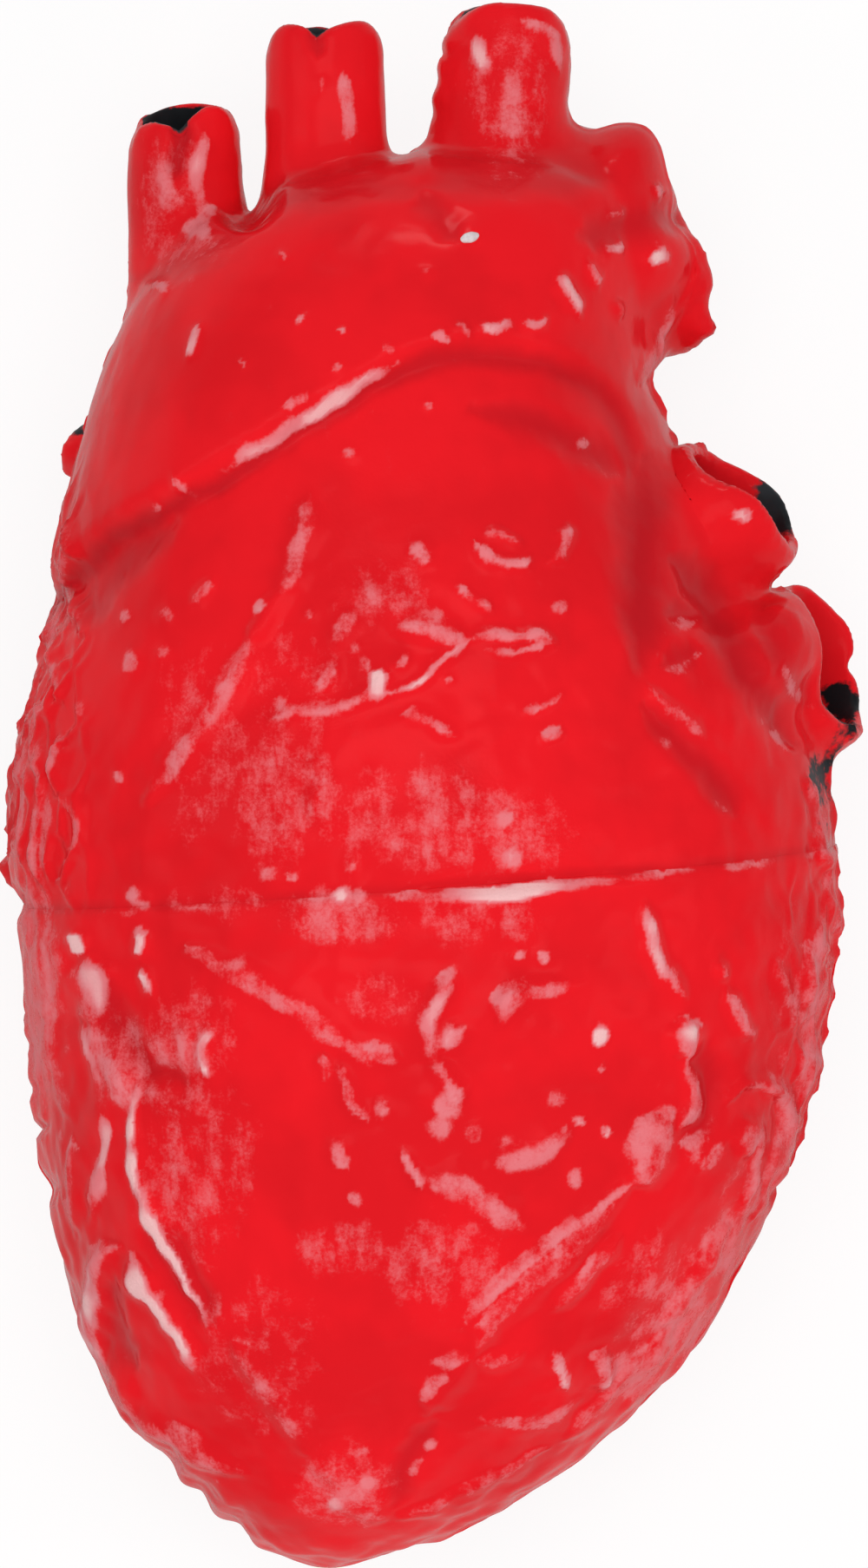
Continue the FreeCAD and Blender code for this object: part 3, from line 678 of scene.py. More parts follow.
def field(points, size, seed):
    """Smooth random hills from -1 to 1, of a size in mm."""
    places = (points / (size * MM) + seed * SEED_STEP).tolist()
    return np.array([noise.noise(place) for place in places])


print("the hills reach", round(float(np.abs(field(skin.co[::50], 4.0, 1)).max()), 2), "of 1")


# %% Strokes of the lower front: half width and height in mm, painted highlight from 0 to 1, marks in mm
VESSELS = [
    # right marginal vessel and its branches
    (0.8, 0.6, 1.0, [(-41.2, -16.8), (-40.9, -19.9)]),
    (1.9, 0.9, 0.75, [(-39.7, -20.5), (-38.9, -24), (-39.1, -27.5)]),
    (1.4, 0.9, 0.6, [(-39, -27), (-38, -31), (-36, -34.8), (-34.2, -37.8)]),
    (0.6, 0.5, 0.7, [(-40.2, -27.6), (-39.2, -31.6), (-37.9, -35)]),
    (0.85, 1.0, 1.0, [(-34.0, -34.5), (-34.4, -38), (-34.5, -41.5), (-34.1, -45.5), (-32.8, -49.5),
                      (-30.6, -54), (-28.2, -58.2), (-26, -62.5)]),
    (2.6, 0.7, 0.0, [(-36.6, -33), (-36.8, -39), (-36.4, -45), (-34.6, -50.5), (-32.2, -55)]),
    (0.9, 0.7, 0.75, [(-37.7, -38), (-37.8, -41), (-38.2, -45), (-39.2, -50)]),
    (1.1, 1.1, 0.85, [(-36.2, -53), (-38.4, -54.6), (-39.4, -58), (-39.4, -62.5), (-37.4, -67.6)]),
    (1.1, 1.0, 0.5, [(-38, -66), (-35.2, -71.4), (-31.9, -74.4), (-27, -77), (-22, -79.5)]),
    (0.85, 0.9, 0.9, [(-34.9, -53.8), (-34.2, -57.2), (-31.4, -60.6), (-28.9, -64.6), (-27.6, -67)]),
    (0.7, 0.5, 0.9, [(-33.7, -16.8), (-34, -19.4)]),
    (0.7, 0.5, 0.9, [(-33.8, -21.2), (-32.3, -24)]),
    (1.0, 0.5, 0.3, [(-34, -36), (-30.5, -36.6), (-26.5, -37.4)]),
    # left descending vessel, two strands side by side
    (1.1, 0.9, 0.8, [(24.3, -14.2), (24.7, -17.5), (26.2, -21), (28.1, -24.4)]),
    (1.4, 1.2, 0.9, [(28.5, -27.4), (29, -31.5)]),
    (1.0, 1.0, 0.6, [(28.8, -31.5), (29.9, -35), (30, -37.5), (28.6, -40)]),
    (2.0, 1.0, 0.6, [(27, -39), (25, -42.6), (22.4, -45.8)]),
    (1.6, 1.0, 0.38, [(22.4, -45.8), (18, -50.6), (12.2, -56.4), (8.4, -59.8), (5.8, -62.7), (3.9, -65.8)]),
    (1.4, 0.9, 0.0, [(3.9, -65.8), (1.4, -68.4), (-0.5, -72.2)]),
    (0.7, 0.7, 0.6, [(26.4, -41.5), (20.5, -47.8), (14.3, -51.8), (9.9, -56), (6.3, -58.5), (3.2, -62.8)]),
    (0.9, 0.5, 0.4, [(4.4, -66.6), (7, -66.2), (10.2, -64.8)]),
    (1.0, 0.7, 0.4, [(21.5, -52.3), (18.1, -55.4), (15.6, -58.2), (14, -60.3)]),
    (0.9, 0.7, 0.8, [(13.9, -65.4), (15.1, -69.3)]),
    (1.0, 0.6, 0.75, [(19.4, -65.4), (19.2, -69.4)]),
    (1.1, 0.5, 0.5, [(5.5, -73.5), (12, -73.6), (16.5, -70.8)]),
    # branches on the lower front
    (1.5, 0.6, 0.5, [(-28.3, -19.4), (-23.5, -21.5), (-19.2, -24.1), (-14.8, -26.8), (-10.5, -29.3),
                     (-7.2, -32.4)]),
    (1.1, 0.5, 0.55, [(-8, -30.6), (-4.2, -31.8)]),
    (0.7, 0.5, 0.9, [(-25.5, -28), (-26.6, -31), (-25.9, -33.4)]),
    (1.0, 0.4, 0.5, [(-28.6, -28), (-29.2, -32.6)]),
    (1.2, 0.4, 0.5, [(-31.6, -29), (-31.4, -33)]),
    (1.3, 0.8, 0.7, [(1.9, -22.4), (-0.1, -25.6), (-0.9, -29), (0, -31.6)]),
    (0.9, 0.6, 0.6, [(0, -31.6), (1.2, -34), (3.6, -36.4)]),
    (1.3, 0.7, 0.75, [(2.6, -27.6), (1.6, -30.6)]),
    (1.2, 0.7, 0.6, [(7.6, -27.6), (8.6, -24.8), (12, -23.8), (16.6, -22.9)]),
    (1.7, 0.6, 0.55, [(6.6, -44.3), (11.5, -42.8), (15.2, -40.6)]),
    (2.1, 0.6, 0.55, [(-0.6, -45.2), (4.4, -47.2), (9.9, -51)]),
    (1.0, 0.6, 0.6, [(-11.2, -32.8), (-9.8, -36), (-8, -39)]),
    (0.8, 0.5, 0.5, [(-13.2, -31), (-12.2, -34.5)]),
    (0.9, 0.5, 0.55, [(-7, -36.8), (-5.2, -37.6)]),
    (0.8, 0.6, 0.7, [(-3.8, -42.4), (-2.6, -44.4), (-1.4, -46.8)]),
    (1.2, 0.4, 0.6, [(33.4, -41.4), (30.8, -44.4)]),
    (1.2, 0.6, 0.6, [(-12, -41.4), (-10, -44.4)]),
    (0.7, 0.7, 0.55, [(32.6, -20.6), (33.6, -22.6)]),
    (0.8, 0.7, 0.6, [(33.8, -24), (35, -27.2), (36.4, -29.4)]),
    (0.8, 0.6, 0.5, [(39.2, -20), (40.8, -24.6), (41, -27.6), (43.2, -26.2)]),
    (1.5, 0.8, 0.5, [(37.4, -39.2), (35.2, -42.4)]),
    (1.2, 0.6, 0.45, [(-23, -64), (-19, -70.5), (-14, -77)]),
    (1.4, 0.6, 0.45, [(-14, -78), (-9.5, -82), (-5, -84)]),
]
print(len(VESSELS), "strokes on the lower front")

# %% Strokes of the upper front
VESSELS += [
    (1.4, 0.7, 0.5, [(-14.4, 33), (-15.2, 28.6), (-16, 24.6), (-17.6, 21.6)]),
    (1.0, 0.7, 0.3, [(-17.4, 22), (-19, 19.4), (-20.8, 16.6)]),
    (1.4, 0.7, 0.55, [(-20.6, 16.8), (-22.4, 13.4), (-25, 9.2), (-27.6, 5.6), (-29.6, 2.4), (-33, -1.5)]),
    (0.8, 0.6, 0.62, [(-19.2, 7.4), (-15.7, 8.4), (-11.4, 8.6), (-8.4, 9.8), (-6.6, 10.8)]),
    (1.3, 0.5, 0.9, [(-6.7, 9.4), (-6.4, 11.4), (-6.1, 13)]),
    (0.6, 0.6, 0.85, [(-5.8, 10), (-2.1, 11.1), (-0.5, 12.8), (0.2, 14.1), (2.2, 15.1), (3.8, 16.7)]),
    (1.2, 0.8, 0.58, [(-4.6, 18.8), (-1.5, 17.7), (1.2, 17.1), (3.8, 16.9)]),
    (0.8, 0.7, 0.62, [(3.4, 16.9), (6.5, 17.2), (9.8, 16.9), (12.5, 17.3), (13.9, 15.8)]),
    (0.6, 0.6, 0.6, [(5, 16), (7.5, 15.4), (9.5, 15), (11.6, 15.6), (13.6, 16.1)]),
    (1.2, 0.5, 0.5, [(-11.2, 16), (-10.4, 18), (-9.4, 19.8)]),
    (1.0, 0.5, 0.5, [(-13.4, 10.6), (-12.4, 12.2), (-11.3, 13.6)]),
    (0.7, 0.5, 0.5, [(-4.6, 13.2), (-3.2, 14.6)]),
    (2.0, 0.5, 0.42, [(-8.4, 22.4), (-5.6, 21.6), (-3, 19.8)]),
    (0.8, 0.6, 0.75, [(4.6, 27.8), (6.2, 25.6), (9.8, 25), (11, 26)]),
    (0.7, 0.5, 0.55, [(5.4, 28.6), (8.4, 28.4), (10, 27.2)]),
    (0.9, 0.7, 0.7, [(15, 29.6), (15.4, 27.6), (13.4, 25.4)]),
    (1.3, 0.5, 0.6, [(-2.6, 27.6), (-0.4, 25.6)]),
    (0.8, 0.5, 0.6, [(2.8, 23), (4.5, 21.2), (7, 20)]),
    (0.9, 0.5, 0.55, [(-3.2, 7.4), (-1.6, 8), (0.5, 6.6), (2.6, 5.2)]),
    (0.5, 0.4, 0.5, [(10.4, 8), (13.2, 9), (15, 10.2)]),
    (0.5, 0.4, 0.5, [(12.4, 4.9), (15.2, 6)]),
    (0.7, 0.5, 0.45, [(24.4, 11.5), (27.5, 8.3), (31, 5.5)]),
    (1.3, 0.6, 0.5, [(-14, 2.6), (-12.9, -0.6), (-13.8, -3.2)]),
    # crest of the auricle's fold and the folds of the great vessels
    (1.3, 0.3, 0.8, [(-24.5, 36.3), (-19.5, 39.4), (-14.4, 42.2), (-9.5, 45.6), (-4.2, 48.8)]),
    (0.7, 0.3, 0.6, [(-17.4, 43.2), (-14.4, 45)]),
    (0.8, 0.3, 0.7, [(-0.6, 51), (1.4, 51.4)]),
    (0.7, 0.4, 0.6, [(2.6, 52.8), (4.2, 51.6)]),
    (0.8, 0.4, 0.75, [(5.4, 53), (7.2, 52.2), (8.8, 53.2)]),
    (0.7, 0.4, 0.7, [(10, 53.6), (11.6, 52.6), (13.4, 53.4)]),
    (0.8, 0.6, 0.75, [(14.2, 58.4), (15.4, 56.4), (16.8, 54)]),
    (0.7, 0.6, 0.65, [(17.4, 60), (19, 57.4)]),
    (0.6, 0.5, 0.5, [(20.9, 55.6), (21.1, 53.8)]),
    (1.0, 0.7, 0.5, [(27.4, 56), (25.6, 51), (23.6, 46.5)]),
    (1.1, 0.5, 0.9, [(24.6, 60.4), (27, 61)]),
    (0.9, 0.5, 0.7, [(19.8, 61.8), (22, 61.8)]),
    (0.7, 0.4, 0.65, [(19.9, 65.4), (22.2, 66.2)]),
    (0.6, 0.4, 0.6, [(25.6, 68.6), (26.3, 67.4)]),
    (1.0, 0.3, 0.8, [(33.6, 31), (36.8, 30.4)]),
    (0.9, 0.4, 0.55, [(41, 13.4), (42.2, 9)]),
    (0.7, 0.3, 0.75, [(-27.1, 53), (-27.8, 51), (-28.4, 49.2)]),
    (0.8, 0.3, 0.6, [(-32.6, 57.2), (-30.8, 56.9)]),
    (0.8, 0.3, 0.65, [(-30.2, 35.3), (-28.4, 33.6)]),
    (0.9, 0.4, 0.55, [(-27.8, 21.1), (-25.3, 23.3)]),
    (0.9, 0.3, 0.45, [(-35, -13.2), (-32.4, -14.3)]),
    # streaks down the tubes
    (1.0, 0.2, 0.75, [(-26.6, 75), (-27.2, 71), (-27.4, 66.6)]),
    (1.3, 0.2, 0.5, [(-31.4, 73), (-30.6, 69), (-29.6, 64.6)]),
    (1.2, 0.2, 0.6, [(-27, 67), (-26.4, 62.6)]),
    (1.1, 0.2, 0.65, [(-10.4, 82), (-10, 78), (-9.6, 74)]),
    (0.6, 0.2, 0.5, [(-12.6, 81.6), (-12.9, 79)]),
    (1.2, 0.3, 0.8, [(5.2, 86.4), (5.4, 84), (6.4, 81.6)]),
    (2.6, 0.3, 0.5, [(8, 83), (9, 78), (8, 73.6)]),
    (1.0, 0.3, 0.6, [(10, 88.2), (13.6, 86.6), (14.6, 82)]),
]
# Scales of the left and right edges: thin ridges with one steep side
SCALES = [
    (0.8, 0.8, 0.4, [(-41.6, 30), (-42.3, 24.6), (-41.8, 21.6), (-40.4, 17.1)]),
    (0.8, 0.8, 0.45, [(-43, 20.5), (-43.9, 17.1), (-43.4, 13.6), (-42.7, 9.2)]),
    (0.8, 0.8, 0.5, [(-43.8, 12), (-44.6, 9), (-46.1, 6), (-45.3, 2.8), (-45.4, -0.1), (-44.6, -2.6)]),
    (0.7, 0.7, 0.5, [(-43.2, 5.2), (-42.8, 2.6), (-43.6, 1), (-42.9, -1.6)]),
    (0.7, 0.8, 0.5, [(-44.5, -1), (-45.4, -4), (-45.8, -7), (-44.6, -12.6)]),
    (0.7, 0.7, 0.5, [(-44.2, -0.8), (-44.1, -4.6), (-44.6, -7.2), (-43.9, -10.8)]),
    (0.7, 0.6, 0.5, [(-42.9, -1.1), (-41.3, -3.4), (-40.9, -6), (-41.8, -8.4)]),
    (0.8, 0.7, 0.5, [(-46.6, 5), (-47.2, 1.4), (-46.7, -2.6), (-47.6, -6), (-47.2, -12)]),
    (1.6, 0.7, 0.5, [(-45.6, -16.6), (-45.6, -22), (-45, -27)]),
    (1.2, 0.6, 0.45, [(-44.6, -27), (-43.6, -33), (-42, -38.4)]),
    (0.8, 0.6, 0.4, [(-41.6, -41), (-41.5, -46), (-42, -52)]),
    (0.8, 0.7, 0.45, [(45.6, -9.4), (45.2, -14), (46.4, -17.6)]),
    (0.8, 0.8, 0.5, [(44.6, -14), (44.2, -18.6), (42.8, -21.6), (42.4, -24.6), (44, -28)]),
    (0.8, 0.8, 0.4, [(42.8, 0.5), (44.2, -3.4), (44, -7.6), (45.6, -10.4)]),
    (1.4, 0.8, 0.5, [(43.8, -21), (43.6, -27), (42.6, -32), (41.6, -37)]),
    (0.8, 0.9, 0.5, [(34.1, -36.4), (36.2, -34.2), (38.6, -35), (40.3, -36.8), (40.7, -40.2), (38.8, -43.6),
                     (38.3, -46.8), (36.6, -50)]),
    (0.8, 0.7, 0.5, [(37.6, -41), (37, -45.5), (35, -49.4)]),
    (0.9, 0.6, 0.45, [(33, -51), (29.5, -57.5), (26.5, -62)]),
    (0.9, 0.6, 0.4, [(27.5, -62), (22, -68.5), (15, -75)]),
    (0.8, 0.5, 0.35, [(13, -76.5), (4, -81), (-4, -84.5)]),
]
print(len(VESSELS), "strokes on the whole front, and", len(SCALES), "scales")

# %% Creases of the front: half width, depth, no painted highlight, and marks
CREASES = [
    (2.8, 0.9, 0, [(24.6, 37), (24.5, 30), (24.4, 22), (23.9, 14.5)]),
    (1.8, 0.8, 0, [(26.4, 27.2), (30.7, 23.2), (32.9, 18.9), (37.1, 11.7), (41.4, 4.6)]),
    (1.3, 0.6, 0, [(25.7, 20.1), (30.7, 19.9), (32.9, 19.2)]),
    (1.3, 0.5, 0, [(26.4, 13.9), (30.7, 15.3)]),
    (1.5, 0.6, 0, [(24.3, 9), (28.5, 4.6), (33, 0), (34.6, -3)]),
    (1.6, 0.45, 0, [(-1.4, 68.4), (0.6, 65.6), (2.8, 63)]),
    (1.5, 0.4, 0, [(-35, 58.2), (-30, 59), (-25, 62.8), (-21.4, 65.9), (-18, 67.8), (-12.7, 68.4),
                   (-6.2, 69.3), (-1.6, 68.5)]),
    (2.0, 0.4, 0, [(-1.2, 69.3), (6.4, 70.1), (14, 70.8), (20.5, 70.1)]),
    (1.6, 0.6, 0, [(4.5, 43.2), (10.8, 41.8), (15.5, 40.3), (18.5, 38), (21.5, 36)]),
    (2.0, 0.6, 0, [(17.5, 63), (22, 64.5), (28.6, 65.6)]),
    (1.4, 0.6, 0, [(-38.3, -21.6), (-37.3, -25.6), (-35.6, -29.4), (-33, -32.6), (-29, -34.4)]),
    (1.2, 0.6, 0, [(-36.6, -57), (-36.8, -62), (-35, -67)]),
    (1.6, 0.6, 0, [(-32, -50.5), (-29.2, -56.5), (-26, -62)]),
    (1.6, 0.6, 0, [(31.3, -30), (31.8, -36), (29.6, -41)]),
    (2.0, 0.5, 0, [(38, 20), (40, 14), (43, 9.5)]),
    (1.2, 0.5, 0, [(0, -74), (-3.6, -78), (-4.4, -83)]),
    (1.5, 0.5, 0, [(-30, 30), (-36, 25.5), (-41, 18)]),
    (1.0, 0.9, 0, [(-29.5, 76.5), (-29.3, 73), (-29.7, 70)]),
    (0.8, 0.5, 0, [(-13.7, 87), (-13.6, 84)]),
]
print(len(CREASES), "creases")

# %% Spots of painted highlight and faces of painted sheen on the front
# Spots of painted highlight, each on a low bump: place, radius in mm, highlight
HIGHLIGHT_SPOTS = [
    (-15.5, 53.3, 0.7, 0.8), (-10.9, 52.3, 0.5, 0.7), (-5.6, 50.5, 0.8, 0.6), (-11, 48.4, 0.6, 0.5),
    (-17.2, 61.3, 0.6, 0.6), (-1, 59, 0.6, 0.5), (-32.2, 32.1, 0.6, 0.5), (-30.7, 19.5, 0.9, 0.5),
    (-22, 48.4, 0.5, 0.5), (17.4, 39.2, 0.8, 0.6), (-9.5, 38.2, 0.7, 0.5), (-0.4, 43.6, 0.7, 0.5),
    (-35.1, 14, 1.2, 0.6), (-35.7, 19.5, 0.9, 0.55), (-30.9, 15.3, 0.8, 0.45), (-40.8, 8.8, 0.7, 0.5),
    (-36.6, 1.2, 0.7, 0.6), (-26, 66.2, 0.9, 0.7), (-30.2, 67, 1.5, 0.6), (-28, 64, 1.0, 0.6),
    (9.8, -19.7, 0.7, 0.65), (12.8, -19.9, 0.8, 0.65), (19.2, -29.2, 1.2, 0.9), (19.4, -33, 0.6, 0.6),
    (14.3, -36.2, 1.1, 0.6), (17, -39.2, 0.7, 0.7), (19.8, -39.8, 0.8, 0.75), (16.3, -45.4, 1.1, 0.6),
    (26.6, -38.0, 1.1, 0.65), (1.6, -36.6, 1.8, 0.68), (8.6, -25.6, 1.4, 0.55), (29.6, -42.6, 0.9, 0.45),
    (-9, -47.6, 1.0, 0.55), (0.4, -39.6, 1.6, 0.5), (4.6, -40, 1.2, 0.4),
    (-20, 20.4, 0.9, 0.75), (0.4, 19.2, 0.9, 0.5), (14.4, 20.6, 0.9, 0.55), (8.1, -4.2, 0.9, 0.8),
    (-14.7, 19.8, 0.6, 0.6), (-11.6, 20.4, 0.6, 0.55), (-9.1, 15.4, 0.7, 0.62), (-17.4, 9.4, 1.1, 0.5),
    (-8.1, 13.4, 1.0, 0.45), (1.8, 11.8, 0.6, 0.55), (9.2, -8.6, 1.2, 0.7), (-16.7, -10.8, 0.8, 0.6),
    (-19, -10.2, 0.9, 0.5), (-9.4, -9.8, 0.6, 0.55), (-11, -13, 0.9, 0.85), (-8.8, -13, 0.8, 0.6),
    (-34.7, -12.7, 0.8, 0.6), (-7.8, -80.6, 1.2, 0.6), (-11.4, -82.2, 1.0, 0.7), (-12, -79, 0.9, 0.5),
]
# Broad grainy faces of painted sheen: place, half width, half height in mm, sheen
SHEEN_PATCHES = [
    (-1, -3.8, 10, 6, 0.4), (11, -5.6, 5.4, 4.4, 0.36), (-17, -1.6, 6, 7.4, 0.36), (-26, 4, 6, 11, 0.24),
    (-11, -15.6, 7, 3, 0.42), (2.4, -15.4, 4.4, 3.4, 0.36), (9.8, -15.8, 2.2, 2.2, 0.38),
    (-24, -13.6, 7, 2, 0.3), (28.5, -61.5, 3.6, 5, 0.5), (22.4, -68, 3.4, 3, 0.48), (33, -53, 2.4, 4, 0.46),
    (-27, -44, 6, 10, 0.34), (1, -55.6, 7, 5, 0.4), (-10, -53.6, 6, 3, 0.34), (-10, -81, 5, 4.4, 0.42),
    (26, -60, 6, 8, 0.34), (-45.6, -24, 2.6, 13, 0.5), (-35.6, -32, 3, 5, 0.42),
    (-6, 22, 6, 4, 0.26), (-6, -24.4, 4, 3, 0.34), (-30, 67, 4, 9, 0.3),
    (8.6, 79, 4.6, 9, 0.34), (-28, -29, 6, 5, 0.34), (-16, 11, 8, 6, 0.26), (36, -52, 4, 8, 0.3),
    (-29, 61.8, 5, 2, 0.34), (-11, 37, 16, 9, 0.08), (-20, -66, 8, 8, 0.24), (42, -24, 4, 10, 0.26),
]
print(len(HIGHLIGHT_SPOTS), "pale spots and", len(SHEEN_PATCHES), "grainy faces")

# %% How a stroke is laid, and its three profiles


def strokes(places, marks, profile, worth=1):
    """The highest of many strokes at each place: worth 1 is their height, worth 2 their painted highlight.

    The profile turns a distance from a stroke's line into a share of 1.
    """
    rise = np.zeros(len(places))
    for width, *levels, points in marks:
        line = smooth_line(points)
        reach = 2.6 * width
        low, high = line.min(axis=0) - reach, line.max(axis=0) + reach
        near = np.nonzero(np.all((places > low) & (places < high), axis=1))[0]
        off, gone = from_line(places[near], line)
        ends = 0.2 + 0.8 * soft(gone / 0.3) * soft((1 - gone) / 0.3)
        level = levels[worth - 1] * (0.4 + 0.6 * ends)
        rise[near] = np.maximum(rise[near], level * profile(off / (0.2 + 0.8 * ends), width))
    return rise


def cord(off, width):
    """Round in the middle with long soft feet."""
    return bell(off, 2.0 * width)


def scale(off, width):
    """Steep on one side and long on the other."""
    return np.where(off > 0, bell(off, 2.6 * width), bell(off, 1.1 * width))


def crest(off, width):
    """Full along the middle, and gone a little outside the width."""
    return soft((1.2 - np.abs(off) / width) / 0.8)


# %% Lay the strokes on the front
FRONT_SWAY, BACK_SWAY = 0.6, 0.9    # how far noise bends the strokes, in mm
SPOT_HEIGHT = 0.25                  # in mm
front = facing(skin.normal, (0, 0, 1)) * skin.outside
sway = np.stack([field(skin.co, 4.0, 11) + 0.45 * field(skin.co, 1.6, 13),
                 field(skin.co, 4.0, 12) + 0.45 * field(skin.co, 1.6, 14)], axis=1)
places = seen(skin.co) + FRONT_SWAY * sway
uneven = 1 + 0.6 * field(skin.co, 4.5, 1)
patchy = np.clip(0.97 + 0.55 * field(skin.co, 3.0, 15), 0.45, 1.1)
rise = strokes(places, VESSELS, cord) * uneven
rise += strokes(places, SCALES, scale) * uneven
rise -= strokes(places, CREASES, cord)
# Highlight painted pale along the crests of the strokes
painted_highlight = np.maximum(strokes(places, VESSELS, crest, 2), strokes(places, SCALES, crest, 2))
# Each spot is a low bump with a highlight painted on it
for x, y, radius, amount in HIGHLIGHT_SPOTS:
    distance = apart(places, x, y)
    painted_highlight = np.maximum(painted_highlight, amount * soft((1.5 - distance / radius) / 0.9))
    rise += SPOT_HEIGHT * bell(distance, 2 * radius)
# Broad patches of painted sheen
broad = np.zeros(len(places))
for x, y, wide, high, amount in SHEEN_PATCHES:
    out = np.hypot((places[:, 0] - x) / wide, (places[:, 1] - y) / high)
    broad = np.maximum(broad, amount * soft(1.6 - out))
# The painted highlight is kept to the front and broken up in patches
painted_highlight = np.maximum(painted_highlight * patchy, broad * (0.4 + 0.6 * patchy)) * front
rise *= front
print("strokes", len(VESSELS) + len(SCALES) + len(CREASES), "highest", round(float(rise.max()), 2), "mm")

# %% [markdown]
# ## The back of the heart
# The back is calmer: two long vessels in the grooves between the chambers, a few branches, and
# the band of the coronary sinus under the vein stubs. The same strokes are laid on the back
# plane. The places that the model rests on stay as they are.

# %% Strokes of the back: half width and height in mm, painted highlight, marks in mm
BACK_VESSELS = [
    (2.0, 1.0, 0.3, [(-26, -4), (-16, -8.5), (-4, -9.5), (8, -7), (20, -2), (30, 4)]),
    (1.6, 1.1, 0.5, [(-6, -9.5), (-7, -20), (-5.5, -32), (-3, -44), (-3.5, -56), (-5, -68), (-7, -78)]),
    (1.1, 0.8, 0.4, [(-3, -14), (-2, -26), (1, -38), (3, -50), (3, -60)]),
    (1.0, 0.8, 0.5, [(-6.4, -22), (-14, -28), (-20, -37), (-24, -48)]),
    (0.9, 0.7, 0.4, [(-5.6, -34), (-12, -42), (-15, -52), (-17, -62)]),
    (1.0, 0.8, 0.5, [(2, -40), (10, -47), (15, -57), (15, -66)]),
    (1.2, 0.9, 0.5, [(20, -2), (24, -14), (25, -27), (22, -40), (18, -50)]),
    (0.9, 0.7, 0.4, [(24.4, -16), (31, -24), (34, -34), (33, -44)]),
    (1.1, 0.8, 0.4, [(-24, -5), (-31, -14), (-35, -25), (-35, -37), (-32, -48)]),
    (0.8, 0.6, 0.4, [(10, -7), (12, -18), (10, -28)]),
    (1.3, 0.7, 0.3, [(-14, 46), (-4, 50), (8, 50), (18, 45)]),
    (1.4, 0.7, 0.3, [(-20, 30), (-8, 34), (6, 33), (18, 27)]),
    (1.2, 0.6, 0.3, [(-18, 12), (-6, 15), (8, 14), (20, 9)]),
]
BACK_CREASES = [
    (2.2, 0.8, 0, [(-24, 40), (-22, 28), (-22, 14), (-25, 2)]),
    (2.0, 0.8, 0, [(21, 40), (23, 28), (23, 14)]),
    (2.4, 0.9, 0, [(-30, -1), (-18, -5), (-4, -6), (10, -3.5), (24, 3)]),
    (1.8, 0.6, 0, [(-12, 60), (0, 57), (12, 58)]),
]
back = facing(skin.normal, (0, 0, -1)) * skin.outside
plan = skin.co[:, :2] / MM + BACK_SWAY * sway
rise += back * (strokes(plan, BACK_VESSELS, cord) * uneven - strokes(plan, BACK_CREASES, cord))
# Highlight painted along the crests of the back vessels
painted_highlight = np.maximum(painted_highlight, back * patchy * strokes(plan, BACK_VESSELS, crest, 2))
print("back share", round(float(back.mean()), 2))

# %% [markdown]
# ## Muscle, seam and flash
# Between the vessels the casting is lumpy from the muscle under it. The smooth auricle above the
# fold gets less of that. The lower section's rim stands out at the seam as a sloping ledge, and
# a thin flash runs along the parting line, where the front and back mouldings were closed.

# %% Muscle lumps
# Lumps of three sizes: size and height in mm, and the seed of the noise
MUSCLE = [(9, 0.34, 2), (4.2, 0.30, 3), (1.9, 0.10, 4)]
SIDE_LUMPS, BACK_CALM = 0.34, 0.2
low_part = soft((30 - places[:, 1] + 0.3 * places[:, 0]) / 24)
lumpy = 0.3 + 0.7 * low_part
muscle = sum(height * field(skin.co, size, seed) for size, height, seed in MUSCLE)
edge = 1 - np.abs(skin.normal[:, 2])
rough_side = np.where(places[:, 0] > 0, soft((2 - places[:, 1]) / 10), 1)
rough_side[(piece_of_point == LOWER_BACK) & (places[:, 0] > 0)] = BACK_CALM
muscle += SIDE_LUMPS * soft(edge / 0.8) * rough_side * field(skin.co * (1, 0.6, 1), 3.4, 5)
print("muscle lumps", round(float(muscle.std()), 2), "mm")

# %% Leathery sides
# Low ridges between flat cells, as wax wrinkles over a warm form, on the left and the right side
CELL = (4.2, 6.4, 4.8)      # in mm
RIDGE_WIDTH, RIDGE_HEIGHT = 1.0, 0.45
x, y = places.T
sides = soft((-38.5 - x) / 4) * soft((y + 17) / 5) * soft((42 - y) / 12)
sides += 0.7 * soft((x - 37) / 5) * soft((y + 50) / 14) * soft((-6 - y) / 8)
sides *= rough_side
leathery = np.nonzero(sides * skin.outside > 0.02)[0]
in_cells = skin.co[leathery] / (np.array(CELL) * MM)
near_two = [noise.voronoi(place)[0][:2] for place in in_cells.tolist()]
border = np.diff(near_two)[:, 0] * CELL[0]
cells = np.zeros(len(places))
cells[leathery] = RIDGE_HEIGHT * soft(1 - border / RIDGE_WIDTH) * sides[leathery]
cells[leathery] *= np.clip(uneven[leathery], 0.3, 1.4)
print("leathery points", len(leathery))

# %% Seam ledge
# All in mm: least height and what is added in the middle, slope and foot, groove at the seam
LEDGE_LOW, LEDGE_HIGH, LEDGE_SLOPE, LEDGE_FOOT = 0.18, 0.8, 1.3, 3.5
GROOVE, GROOVE_WIDTH = 0.10, 0.5
# Where the ledge stands out furthest and catches the light: its two ends, its middle, and the
# place where the highlight painted on it is widest
BRIGHT_FROM, BRIGHT_TO, BRIGHT_MIDDLE, HIGHLIGHT_MIDDLE = -6.5, 28.5, 9, 8


def height_over(point, normal):
    """Height of each point of the skin over a plane, in mm."""
    return ((skin.co - np.array(point) * MM) @ np.array(normal)) / MM


